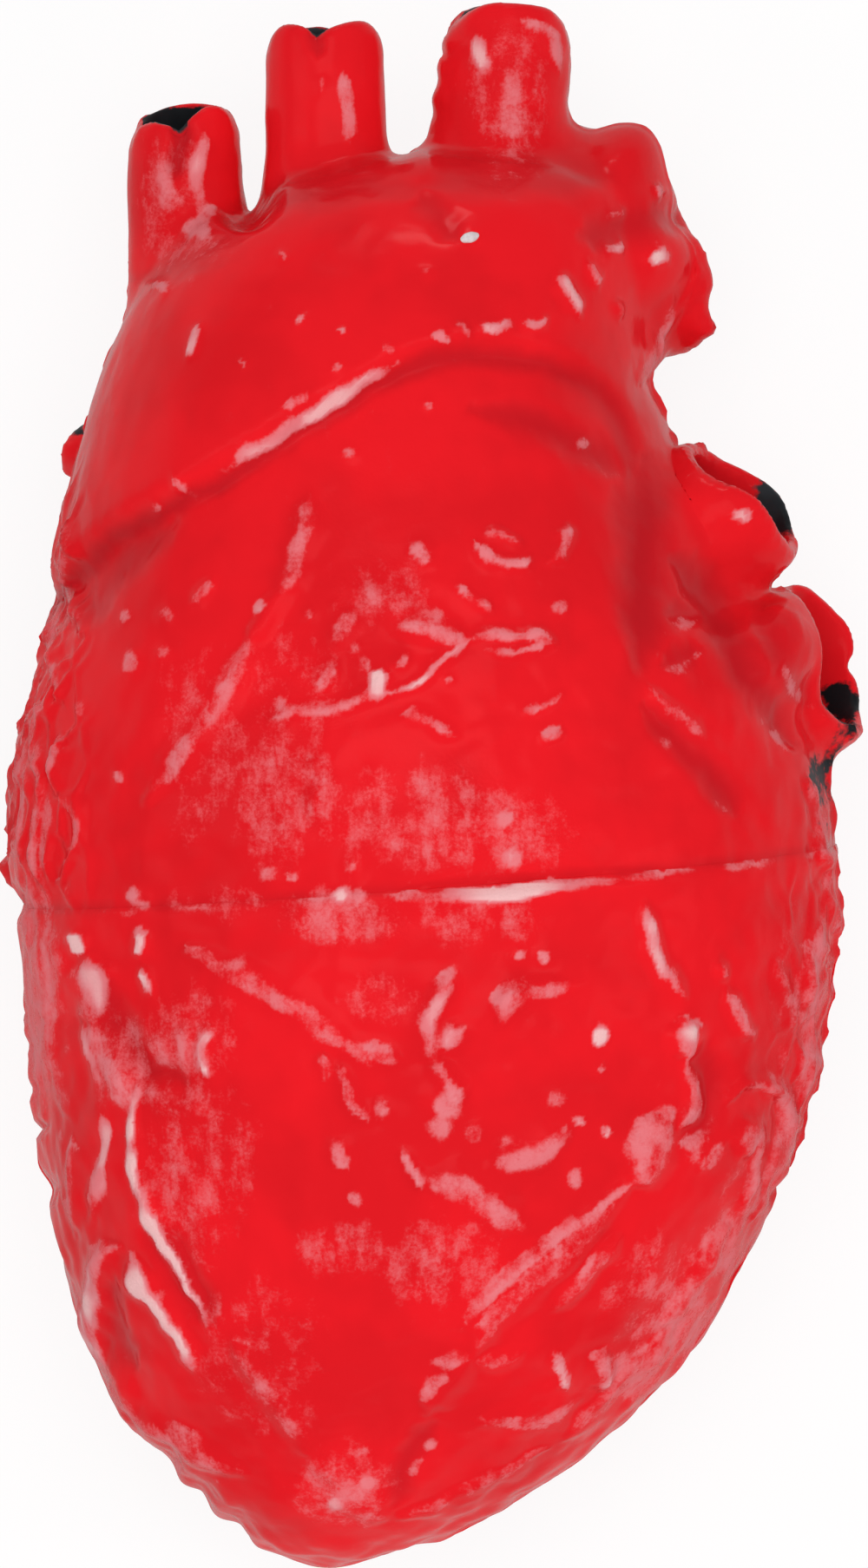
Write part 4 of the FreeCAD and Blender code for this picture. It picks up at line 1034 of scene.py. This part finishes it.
across = places[:, 0]
below = -height_over(SEAM_POINT, SEAM_NORMAL)
lower = (piece_of_point == LOWER_FRONT) | (piece_of_point == LOWER_BACK)
upper = (piece_of_point == UPPER_FRONT) | (piece_of_point == UPPER_BACK)
bright_part = soft((across - BRIGHT_FROM) / 5) * soft((BRIGHT_TO - across) / 4)
proud = LEDGE_LOW + LEDGE_HIGH * bright_part * bell(across - BRIGHT_MIDDLE, 26)
proud += 0.1 * field(skin.co, 3, 6)
foot = np.exp(-np.maximum(below - LEDGE_SLOPE, 0) / LEDGE_FOOT)
ledge = np.where(lower, proud * soft(below / LEDGE_SLOPE) * foot, 0)
ledge -= np.where(lower, GROOVE * np.exp(-np.abs(below) / GROOVE_WIDTH), 0)
ledge -= np.where(upper, (0.12 + 0.3 * proud) * np.exp(-np.abs(below)), 0)
# Highlight painted on the ledge's slope, where a lamp at the top would catch it
lit = (0.35 + 0.65 * bell(across - BRIGHT_MIDDLE, 14)) * bright_part * lower * soft(below / 0.3)
lit *= soft(2.2 + 1.1 * bell(across - HIGHLIGHT_MIDDLE, 8) - below / 0.8)
painted_highlight = np.maximum(painted_highlight, lit * front)
print("ledge up to", round(float(ledge.max()), 2), "mm")

# %% Flash along the parting line
FLASH_LOW, FLASH_HIGH, FLASH_WIDTH = 0.12, 0.5, 0.9     # in mm
over = height_over(PARTING_POINT, PARTING_NORMAL)
ragged = np.clip(0.5 + 1.6 * field(skin.co, 2.2, 7), 0, 1)
# How far the ragged edge is worn smooth: at the lower left, near the apex and on the tubes
worn = np.where(across < 0, 0.55 * soft((-12 - places[:, 1]) / 4), 0)
worn = np.maximum(worn, soft((-40 - places[:, 1]) / 12))
knobby = (across > -3) & (across < 5)
worn = np.maximum(worn, 0.9 * soft((places[:, 1] - 58) / 6) * ~knobby)
flash = (FLASH_LOW + FLASH_HIGH * ragged * (1 - 0.9 * worn)) * bell(over, FLASH_WIDTH)
SPIKE = (-49, -9.7)     # a longer tongue of flash at the left edge
flash += 1.8 * bell(apart(places, *SPIKE), 2.6) * bell(over, 2.2)
# Knobs of flash: place, radius and height in mm
KNOBS = [(0.7, 85.6, 1.2, 0.5), (-0.2, 82.4, 1.5, 0.7), (-0.6, 79.2, 1.7, 0.8), (-0.9, 75.2, 2.2, 0.6),
         (-1.2, 71.8, 2.0, 0.5), (32.0, 52.0, 1.5, 0.9), (30.4, 49.6, 1.3, 0.6), (31.2, 57.6, 1.6, 0.5)]
# Where the rim below the seam was shaved back or stands out
RIM = [(-48.6, -13.8, 1.9, -1.2), (-47.9, -27.7, 1.0, 0.5), (-47.2, -30.0, 0.9, -0.5),
       (-46.6, -35.2, 1.0, -0.6), (-45.6, -39.8, 0.9, -1.0), (-44.8, -46.6, 1.7, -1.0),
       (-31.6, -78.4, 2.6, -1.1), (-27, -82, 2.2, -1.1), (-23, -86, 2.2, -1.0), (46.6, -11, 2.6, -0.8),
       (44.8, -28.6, 3, -0.8), (39.6, -46.6, 1.8, -0.7)]
for x, y, radius, height in KNOBS + RIM:
    flash += height * bell(apart(places, x, y), 1.6 * radius)
rise += skin.outside * (lumpy * muscle + ledge + flash + cells)
print("flash up to", round(float(flash.max()), 2), "mm")

# %% Lift the skin, but keep the resting places of the back
clear = soft((skin.co[:, 2] / MM - 1.0) / 3)
level_normal = skin.normal.copy()
skin.push(rise * clear)
# A pale highlight is also painted on flanks that face the top, as a lamp there would light them
UPHILL, FLANK_HIGHLIGHT = (-0.3, 0.95, 0.1), 0.6
tilt = (skin.normal - level_normal) @ np.array(UPHILL)
flank_highlight = soft((tilt - 0.07) / 0.2) * np.clip(0.45 + 1.3 * field(skin.co, 6, 8), 0, 1)
flank_highlight *= lumpy * skin.outside
painted_highlight = np.maximum(painted_highlight, FLANK_HIGHLIGHT * flank_highlight)
print("skin sculpted, bloom on", round(float((painted_highlight > 0.3).mean()), 2))

# %% [markdown]
# ## Where the red lacquer went
# The case was sprayed after moulding, so the red reaches only as far as the gun could see. It
# fades a few millimetres into each mouth and leaves the moulding black behind it. The amount of
# lacquer is kept on the points, from 0 for bare vinyl to 1 for full cover, and the material
# breaks up its edge with noise.

# %% Painted shade: darker red under the fold, in the creases and along the seam
below_fold, gone = from_line(places, smooth_line(FOLD))
# Shade painted in a band just under the fold, stronger towards its left end
painted_shade = (0.45 + 0.4 * soft((1 - gone) / 0.7)) * bell(below_fold + 1.1, 2.2) * soft((1 - gone) / 0.12)
# Shade also painted in the creases of the front and of the back
painted_shade = np.maximum(painted_shade, 1.1 * strokes(places, CREASES, cord)) * front
painted_shade = np.maximum(painted_shade, 0.9 * back * strokes(plan, BACK_CREASES, cord))
# Shade painted along the seam, wider on the upper section
seam_shade = np.where(upper, bell(below, 1.4), bell(below - 0.15, 0.5)) * (upper | lower)
painted_shade = np.maximum(painted_shade, 0.35 * seam_shade * uneven * skin.outside)
print("pooled share", round(float((painted_shade > 0.3).mean()), 2))

# %% Spray the points
# Rubbed spots on the front: place and radius in mm, and how much red is gone
RUBBED = [(-41.6, 41.0, 0.9, 0.7), (-40.4, 41.4, 0.8, 0.6), (44.4, 2.4, 1.5, 0.6), (44.2, 0.2, 1.5, 0.65),
          (44.8, -1.8, 1.2, 0.5), (47.9, 8.4, 1.7, 0.62), (48.4, 6.4, 1.2, 0.55), (46.6, 5.4, 1.3, 0.45),
          (45.6, 3.8, 1.1, 0.45), (44.9, -5.0, 1.0, 0.4)]
# Places inside the mouths that the gun missed
MISSED = [(39.4, 32.9, 2.6, 1.0), (41.4, 30.6, 2.2, 1.0), (47.4, 8.6, 2.4, 1.0), (46.2, 10.6, 1.6, 0.8)]
for marks, side in ((RUBBED, skin.outside), (MISSED, 1 - skin.outside)):
    for x, y, radius, gone in marks:
        sprayed -= gone * side * bell(apart(places, x, y), 1.8 * radius)
for name, amount in (("sprayed", sprayed), ("painted_highlight", painted_highlight), ("painted_shade", painted_shade)):
    skin.mesh.attributes.new(name, "FLOAT", "POINT")
    skin.mesh.attributes[name].data.foreach_set("value", np.clip(amount, 0, 1).astype(np.float32))
print("sprayed share", round(float(sprayed.mean()), 2))

# %% [markdown]
# ## Thirteen pieces with one shading
# The skin is now taken apart into its thirteen pieces. Each point keeps the normal that it had
# on the whole skin, so the light runs over a joint as the lacquer does, and the flat caps keep
# their own.

# %% Separate the pieces
corner_normal = skin.normal[skin.corner]
on_cap = skin.caps[skin.owner]
corner_normal[on_cap] = read(skin.mesh.polygons, "normal", 3)[skin.owner][on_cap]
skin.mesh.attributes.new("whole_normal", "FLOAT_VECTOR", "CORNER")
skin.mesh.attributes["whole_normal"].data.foreach_set("vector", corner_normal.astype(np.float32).ravel())
skin.mesh.polygons.foreach_set("material_index", piece_of_face)
for number in range(len(PIECES)):
    skin.mesh.materials.append(bpy.data.materials.new(f"piece_{number}"))
for thing in scene.objects:
    thing.select_set(thing == skin.thing)
bpy.context.view_layer.objects.active = skin.thing
bpy.ops.object.mode_set(mode="EDIT")
bpy.ops.mesh.separate(type="MATERIAL")
bpy.ops.object.mode_set(mode="OBJECT")
skins = {}
for thing in bpy.context.selected_objects:
    node = PIECES[thing.data.attributes["piece"].data[0].value]
    thing.data.materials.clear()
    thing.data.polygons.foreach_set("material_index", np.zeros(len(thing.data.polygons), np.int32))
    thing.data.shade_smooth()
    normals = read(thing.data.attributes["whole_normal"].data, "vector", 3)
    thing.data.normals_split_custom_set(normals.tolist())
    for name in ("whole_normal", "piece", "cap"):
        thing.data.attributes.remove(thing.data.attributes[name])
    thing.name = thing.data.name = node + "_skin"
    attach(thing, "apex_section" if node.startswith("lower") else "upper_section")
    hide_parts(node)
    skins[node] = thing
most = max(sum(len(p.vertices) - 2 for p in s.data.polygons) for s in skins.values())
print(len(skins), "skins, most triangles", most)

# %% [markdown]
# ## Gloss red lacquer over black vinyl
# The lacquer is a thick, saturated red. Pale, grainy highlights are painted into its colour on the
# ridges, and shade is painted into it as a darker red in the hollows. Where it was rubbed off the
# black vinyl shows. Each effect is a node group with named inputs, so that other finishes can use it
# with other values.

# %% Node helpers


def add(tree, kind, *links, **values):
    """A node with settings, its inputs linked or set by position in links."""
    node = tree.nodes.new(kind)
    for name, value in values.items():
        setattr(node, name, value)
    for number, link in enumerate(links):
        if isinstance(link, bpy.types.NodeSocket):
            tree.links.new(link, node.inputs[number])
        elif link is not None:
            node.inputs[number].default_value = link
    return node


def new_group(name, inputs, outputs):
    """An empty node group with float sockets: its tree, its inputs and its outputs."""
    print("node group", name)
    group = bpy.data.node_groups.new(name, "ShaderNodeTree")
    for label, value in inputs:
        socket = group.interface.new_socket(label, in_out="INPUT", socket_type="NodeSocketFloat")
        socket.default_value = value
    for label in outputs:
        group.interface.new_socket(label, in_out="OUTPUT", socket_type="NodeSocketFloat")
    return group, group.nodes.new("NodeGroupInput").outputs, group.nodes.new("NodeGroupOutput").inputs


def ramp(tree, source, low, high):
    """A mask that rises from 0 to 1 between two values."""
    node = add(tree, "ShaderNodeMapRange", source, low, high, 0.0, 1.0)
    node.interpolation_type = "SMOOTHSTEP"
    return node.outputs[0]


def between(tree, share, low, high):
    """A number that goes from low to high as the share goes from 0 to 1."""
    return add(tree, "ShaderNodeMapRange", share, 0.0, 1.0, low, high).outputs[0]


def math_node(tree, operation, *links):
    """The result of one math operation."""
    return add(tree, "ShaderNodeMath", *links, operation=operation).outputs[0]


def hills(tree, scale, detail=3.0, rough=0.55, squash=None):
    """Noise from 0 to 1 on the object's own coordinates; squash stretches it along an axis."""
    place = add(tree, "ShaderNodeTexCoord").outputs["Object"]
    if squash is not None:
        place = add(tree, "ShaderNodeVectorMath", place, squash, operation="MULTIPLY").outputs[0]
    noise_node = add(tree, "ShaderNodeTexNoise", place, None, scale, detail, rough)
    return add(tree, "ShaderNodeMapRange", noise_node.outputs[0], 0.3, 0.7, 0.0, 1.0).outputs[0]


# %% Group: broken edge of a mask
sockets = [("Amount", 1.0), ("Raggedness", 0.3), ("Scale", 900.0)]
group, source, target = new_group("broken_edge", sockets, ["Mask"])
specks = hills(group, source["Scale"], 4.0, 0.6)
shift = math_node(group, "MULTIPLY", math_node(group, "SUBTRACT", specks, 0.5), source["Raggedness"])
group.links.new(ramp(group, math_node(group, "ADD", source["Amount"], shift), 0.32, 0.68), target["Mask"])

# %% Group: painted highlight
# The amount sets how much of the grain is covered: little leaves specks, much closes the film
# Each grain: hills to a metre, roughness, squash, and its part in the whole
GRAINS = {"powder": (2500.0, 0.65, None, 0.7), "coarse": (560.0, 0.6, None, 1.0),
          "streaks": (460.0, 0.6, (1.0, 0.25, 1.0), 1.3)}
GRAIN_DEPTH, GRAIN_LEVEL, FILM = 0.3645, 0.14, 1.45
group, source, target = new_group("painted_highlight_grain", [("Amount", 0.5), ("Scale", 1.0)], ["Mask", "Height"])
grains, grain = {}, 0.0
for name, (scale, rough, squash, part) in GRAINS.items():
    grains[name] = hills(group, math_node(group, "MULTIPLY", source["Scale"], scale), 3.0, rough, squash)
    grain = math_node(group, "ADD", grain, math_node(group, "MULTIPLY", grains[name], part))
grain = math_node(group, "SUBTRACT", math_node(group, "MULTIPLY", grain, GRAIN_DEPTH), GRAIN_LEVEL)
cover = math_node(group, "SUBTRACT", math_node(group, "MULTIPLY", source["Amount"], FILM), grain)
group.links.new(ramp(group, cover, -0.10, 0.62), target["Mask"])
group.links.new(math_node(group, "MULTIPLY", grains["powder"], source["Amount"]), target["Height"])

# %% Group: orange peel
group, source, target = new_group("orange_peel", [("Scale", 420.0)], ["Height"])
wide_scale = math_node(group, "MULTIPLY", source["Scale"], 0.33)
wide = math_node(group, "MULTIPLY", hills(group, wide_scale, 2.0, 0.5), 1.4)
group.links.new(math_node(group, "ADD", hills(group, source["Scale"], 2.0, 0.5), wide), target["Height"])

# %% Material helpers


def new_material(name):
    """A material with its tree and its Principled shader."""
    print("material", name)
    material = bpy.data.materials.new(name)
    material.use_nodes = True
    return material, material.node_tree, material.node_tree.nodes["Principled BSDF"]


def place_group(tree, name, **values):
    """A node group in a material, with its inputs set or linked by name."""
    node = add(tree, "ShaderNodeGroup", node_tree=bpy.data.node_groups[name])
    for label, value in values.items():
        if isinstance(value, bpy.types.NodeSocket):
            tree.links.new(value, node.inputs[label])
        else:
            node.inputs[label].default_value = value
    return node.outputs


def mix_colours(tree, share, a, b):
    """The colour between two others."""
    node = add(tree, "ShaderNodeMix", data_type="RGBA")
    for label, value in (("Factor_Float", share), ("A_Color", a), ("B_Color", b)):
        socket = next(s for s in node.inputs if s.identifier == label)
        if isinstance(value, bpy.types.NodeSocket):
            tree.links.new(value, socket)
        else:
            socket.default_value = value
    return next(s for s in node.outputs if s.identifier == "Result_Color")


def bump_up(tree, shader, height, strength, distance):
    """Sends a height through a Bump node to the shader; the distance is in metres."""
    bump = add(tree, "ShaderNodeBump", strength, distance, None, height)
    tree.links.new(bump.outputs[0], shader.inputs["Normal"])


# %% Sprayed vinyl
RED = (0.87, 0.011, 0.018, 1)
DEEP_RED = (0.76, 0.010, 0.016, 1)
# Darker red painted as shade under the fold, in the creases and at the seam
PAINTED_SHADE_RED = (0.46, 0.010, 0.016, 1)
# Pale pink and near white, painted on as highlights
HIGHLIGHT_PINK = (0.85, 0.28, 0.31, 1)
HIGHLIGHT_WHITE = (0.93, 0.53, 0.53, 1)
BLACK = (0.010, 0.011, 0.013, 1)
GREY_BLACK = (0.035, 0.040, 0.045, 1)
CLOUD, EDGE_SCALE = 60.0, 620.0     # hills to a metre in the red and in its torn edge
# The second roughness is the one under the painted highlights
WET, HIGHLIGHT_ROUGH, BARE = 0.19, 0.46, 0.42     # roughness of lacquer, bloom and bare vinyl
RELIEF = 0.00012                    # depth of the grain and the orange peel in metres
material, tree, shader = new_material("sprayed_vinyl")
amount = add(tree, "ShaderNodeAttribute", attribute_name="sprayed").outputs["Fac"]
highlight_share = add(tree, "ShaderNodeAttribute", attribute_name="painted_highlight").outputs["Fac"]
cover = place_group(tree, "broken_edge", Amount=amount, Raggedness=0.6, Scale=EDGE_SCALE)["Mask"]
highlight_film = place_group(tree, "painted_highlight_grain", Amount=highlight_share)
peel = place_group(tree, "orange_peel")["Height"]
cloud = ramp(tree, hills(tree, CLOUD), 0.2, 0.9)
red = mix_colours(tree, cloud, RED, DEEP_RED)
# Painted shade: a darker red where shade falls under the fold, in the creases and at the seam
shade_share = add(tree, "ShaderNodeAttribute", attribute_name="painted_shade").outputs["Fac"]
red = mix_colours(tree, between(tree, shade_share, 0.0, 0.8), red, PAINTED_SHADE_RED)
# Painted highlights: pale pink over the red, and near white where they are strongest
highlight_veil = math_node(tree, "MULTIPLY", highlight_film["Mask"], between(tree, highlight_share, 0.24, 0.95))
red = mix_colours(tree, highlight_veil, red, HIGHLIGHT_PINK)
highlight_peak = math_node(tree, "MULTIPLY", highlight_film["Mask"], ramp(tree, highlight_share, 0.66, 1.0))
red = mix_colours(tree, highlight_peak, red, HIGHLIGHT_WHITE)
black = mix_colours(tree, cloud, BLACK, GREY_BLACK)
tree.links.new(mix_colours(tree, cover, black, red), shader.inputs["Base Color"])
gloss = between(tree, highlight_film["Mask"], WET, HIGHLIGHT_ROUGH)
tree.links.new(between(tree, cover, BARE, gloss), shader.inputs["Roughness"])
shader.inputs["Specular IOR Level"].default_value = 0.11
grainy = math_node(tree, "MULTIPLY", highlight_film["Height"], 0.8)
wavy = math_node(tree, "MULTIPLY", peel, 0.3)
bump_up(tree, shader, math_node(tree, "ADD", grainy, wavy), 0.7, RELIEF)
for thing in skins.values():
    thing.data.materials.append(material)
print("lacquer on", len(skins), "skins")

# %% [markdown]
# ## The bead left by the casting
# A drop of clear plastic froze where the mould was filled, high on the front between two tubes. It
# is a small flattened ball. A ray finds the skin under it, so that it sits half sunk in the
# lacquer.

# %% Casting bead
BEAD_PLACE, BEAD_SIZE, BEAD_TURN = (4.1, 62.8), (1.15, 0.62, 0.55), math.radians(22)
DENT, DENT_SIZE, SEAT_HEIGHT = 0.07 * MM, 0.6 * MM, 0.25 * MM
MILK, CLEAR_MILK = (0.90, 0.86, 0.86, 1), (0.62, 0.50, 0.52, 1)
seat = Vector((BEAD_PLACE[0] * MM, BEAD_PLACE[1] * MM, MID_PLANE))
hit, level, _, _ = skin.tree.ray_cast(EYE, seat - EYE)
bm = bmesh.new()
bmesh.ops.create_icosphere(bm, subdivisions=4, radius=1)
bmesh.ops.scale(bm, vec=[side * MM for side in BEAD_SIZE], verts=bm.verts)
for v in bm.verts:
    v.co += v.co.normalized() * DENT * noise.noise(v.co / DENT_SIZE)
bmesh.ops.rotate(bm, cent=(0, 0, 0), matrix=Matrix.Rotation(BEAD_TURN, 3, "Z"), verts=bm.verts)
turn = Vector((0, 0, 1)).rotation_difference(level).to_matrix()
bmesh.ops.rotate(bm, cent=(0, 0, 0), matrix=turn, verts=bm.verts)
bmesh.ops.translate(bm, vec=hit + level * SEAT_HEIGHT, verts=bm.verts)
bead_mesh = bpy.data.meshes.new("casting_bead")
bm.to_mesh(bead_mesh)
bm.free()
bead_mesh.shade_smooth()
bead = bpy.data.objects.new("casting_bead", bead_mesh)
scene.collection.objects.link(bead)
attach(bead, "upper_section")
material, tree, shader = new_material("milky_bead")
milk = mix_colours(tree, hills(tree, 1500.0), CLEAR_MILK, MILK)
tree.links.new(milk, shader.inputs["Base Color"])
tree.links.new(between(tree, hills(tree, 2400.0), 0.12, 0.3), shader.inputs["Roughness"])
bump_up(tree, shader, hills(tree, 1800.0), 0.4, 0.00005)
bead_mesh.materials.append(material)
print("bead at", [round(c / MM, 1) for c in hit])

# %% [markdown]
# ## Finishes of the inside
# The pieces inside keep the shapes of the construction and get their finish here: flesh with
# fibres on the chamber walls, stringy muscle, ivory valve leaves, waxy rings, bare black vinyl
# on pegs and bores, and brushed nickel on the magnets. Each is told by its slot in the record.

# %% Group: fibres
# Long grains, with a strength that comes and goes in patches
group, source, target = new_group("fibres", [("Scale", 500.0), ("Patches", 120.0)], ["Mask", "Height"])
strands = hills(group, source["Scale"], 4.0, 0.6, (1.0, 0.16, 0.5))
patches = hills(group, source["Patches"], 2.0, 0.5)
group.links.new(math_node(group, "MULTIPLY", strands, between(group, patches, 0.4, 1.0)), target["Mask"])
group.links.new(strands, target["Height"])


def fleshy(name, pale, dark, roughness, scale, depth):
    """A moulded flesh finish: two colours mixed by fibres, with their relief in metres."""
    material, tree, shader = new_material(name)
    fibre = place_group(tree, "fibres", Scale=scale)
    stain = ramp(tree, hills(tree, 45.0), 0.25, 0.85)
    colour = mix_colours(tree, fibre["Mask"], dark, pale)
    shade = mix_colours(tree, 0.45, dark, pale)
    stained = mix_colours(tree, math_node(tree, "MULTIPLY", stain, 0.5), colour, shade)
    tree.links.new(stained, shader.inputs["Base Color"])
    tree.links.new(between(tree, fibre["Mask"], *roughness), shader.inputs["Roughness"])
    shader.inputs["Specular IOR Level"].default_value = 0.4
    bump_up(tree, shader, fibre["Height"], 0.8, depth)
    return material


# %% Materials by slot
# Pale and dark colour, roughness of the dark and the pale, fibres to a metre, relief in metres
FLESH = {
    "chamber_wall": ((0.66, 0.20, 0.16, 1), (0.36, 0.045, 0.040, 1), (0.50, 0.34), 420.0, 0.00025),
    "papillary_muscle": ((0.56, 0.11, 0.09, 1), (0.28, 0.03, 0.03, 1), (0.48, 0.32), 700.0, 0.00022),
    "valve_tissue": ((0.86, 0.78, 0.62, 1), (0.68, 0.50, 0.36, 1), (0.42, 0.28), 600.0, 0.00010),
    "valve_ring": ((0.78, 0.62, 0.40, 1), (0.58, 0.36, 0.20, 1), (0.50, 0.38), 380.0, 0.00014),
    "black_vinyl": ((0.040, 0.044, 0.048, 1), (0.012, 0.013, 0.015, 1), (0.50, 0.38), 260.0, 0.00010),
}
NICKEL_DARK, NICKEL_PALE = (0.52, 0.51, 0.50, 1), (0.72, 0.71, 0.69, 1)
finishes = {name: fleshy(name, *values) for name, values in FLESH.items()}
material, tree, shader = new_material("nickel_magnet")
shader.inputs["Metallic"].default_value = 1.0
lines = hills(tree, 3000.0, 3.0, 0.6, (1.0, 0.05, 1.0))
tree.links.new(mix_colours(tree, lines, NICKEL_DARK, NICKEL_PALE), shader.inputs["Base Color"])
tree.links.new(between(tree, lines, 0.22, 0.4), shader.inputs["Roughness"])
bump_up(tree, shader, lines, 0.3, 0.00002)
finishes["magnet"] = material
for part in frame["record"]["subparts"]:
    if part["material_slot"] in finishes:
        for slot in nodes[part["node"]].material_slots:
            slot.material = finishes[part["material_slot"]]
print(len(finishes), "inner finishes")

# %% [markdown]
# ## Light
# A wide soft box hangs beside the camera, with weaker ones left and right, and small ones low
# beyond the top and the apex light the slopes. The sky is plain grey for the colour itself, and
# mirror rays see it pale at the horizon and dark overhead, as in a studio with a black ceiling.
# Only the small box beyond the top shows in the gloss, so the broad faces stay plain red.

# %% World
# The sky's strength for colour, and in the gloss at the horizon and overhead; 1 is straight up
PLAIN, HORIZON, OVERHEAD, DARK_FROM = 0.36, 0.38, 0.02, 0.25
world = bpy.data.worlds.new("studio")
scene.world = world
world.use_nodes = True
tree = world.node_tree
tree.nodes.clear()
ray = add(tree, "ShaderNodeLightPath").outputs
way = add(tree, "ShaderNodeTexCoord").outputs["Generated"]
up = add(tree, "ShaderNodeSeparateXYZ", way).outputs["Z"]
mirror = between(tree, ramp(tree, up, 0.0, DARK_FROM), HORIZON, OVERHEAD)
seen_by = math_node(tree, "MAXIMUM", ray["Is Glossy Ray"], ray["Is Transmission Ray"])
strength = math_node(tree, "MAXIMUM", between(tree, seen_by, PLAIN, mirror), ray["Is Camera Ray"])
background = add(tree, "ShaderNodeBackground", (1, 1, 1, 1), strength)
add(tree, "ShaderNodeOutputWorld", background.outputs[0])
print("sky", PLAIN, "and in the gloss", HORIZON, "to", OVERHEAD)

# %% Soft boxes
# Each box: place in m, width and height in m, brightness, seen in the gloss
BOXES = [
    ((0.0, 0.06, 0.95), 0.50, 0.50, 5.0, False),
    ((-0.02, 0.66, 0.24), 0.18, 0.06, 7.0, True),
    ((-0.52, 0.05, 0.52), 0.16, 0.40, 2.2, False),
    ((0.50, -0.05, 0.50), 0.14, 0.36, 3.2, False),
    ((0.05, -0.64, 0.30), 0.24, 0.08, 14.0, False),
]
AIM = Vector((0, 0, 0.04))
for number, (place, wide, high, bright, glossy) in enumerate(BOXES):
    lamp = bpy.data.lights.new(f"box_{number}", "AREA")
    lamp.shape, lamp.size, lamp.size_y = "RECTANGLE", wide, high
    lamp.energy = bright * math.pi * wide * high
    box = bpy.data.objects.new(f"box_{number}", lamp)
    box.location = place
    box.rotation_euler = (Vector(place) - AIM).to_track_quat("Z", "Y").to_euler()
    box.visible_glossy = glossy
    scene.collection.objects.link(box)
print(len(BOXES), "soft boxes")

# %% Floor
# The camera sees the floor white, the gloss sees it grey, and it keeps a little of its shadow
FLOOR, FLOOR_GAP = 3.0, 0.2 * MM
FLOOR_WHITE, FLOOR_GREY, GLOW_SHARE = 1.02, 0.5, 0.85
bm = bmesh.new()
bmesh.ops.create_grid(bm, x_segments=1, y_segments=1, size=FLOOR)
bmesh.ops.translate(bm, verts=bm.verts, vec=(0, 0, -FLOOR_GAP))
floor_mesh = bpy.data.meshes.new("floor")
bm.to_mesh(floor_mesh)
bm.free()
floor = bpy.data.objects.new("floor", floor_mesh)
scene.collection.objects.link(floor)
floor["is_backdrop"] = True
material, tree, shader = new_material("white_floor")
shader.inputs["Base Color"].default_value = (0.95, 0.95, 0.95, 1)
shader.inputs["Roughness"].default_value = 0.9
shader.inputs["Specular IOR Level"].default_value = 0.0
ray = add(tree, "ShaderNodeLightPath").outputs
mirrored = math_node(tree, "MAXIMUM", ray["Is Glossy Ray"], ray["Is Transmission Ray"])
seen_by = math_node(tree, "MAXIMUM", ray["Is Camera Ray"], mirrored)
white = between(tree, ray["Is Camera Ray"], FLOOR_GREY, FLOOR_WHITE)
glow = add(tree, "ShaderNodeEmission", (1, 1, 1, 1), white)
share = math_node(tree, "MULTIPLY", seen_by, GLOW_SHARE)
mixed = add(tree, "ShaderNodeMixShader", share, shader.outputs[0], glow.outputs[0])
tree.links.new(mixed.outputs[0], tree.nodes["Material Output"].inputs["Surface"])
floor_mesh.materials.append(material)
print("floor", FLOOR / MM * 2, "mm across")
scene.view_settings.view_transform = "Standard"

# %% Sizes, and the end
low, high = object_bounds()
print("visual model", [round(c / MM, 1) for c in high - low], "mm")
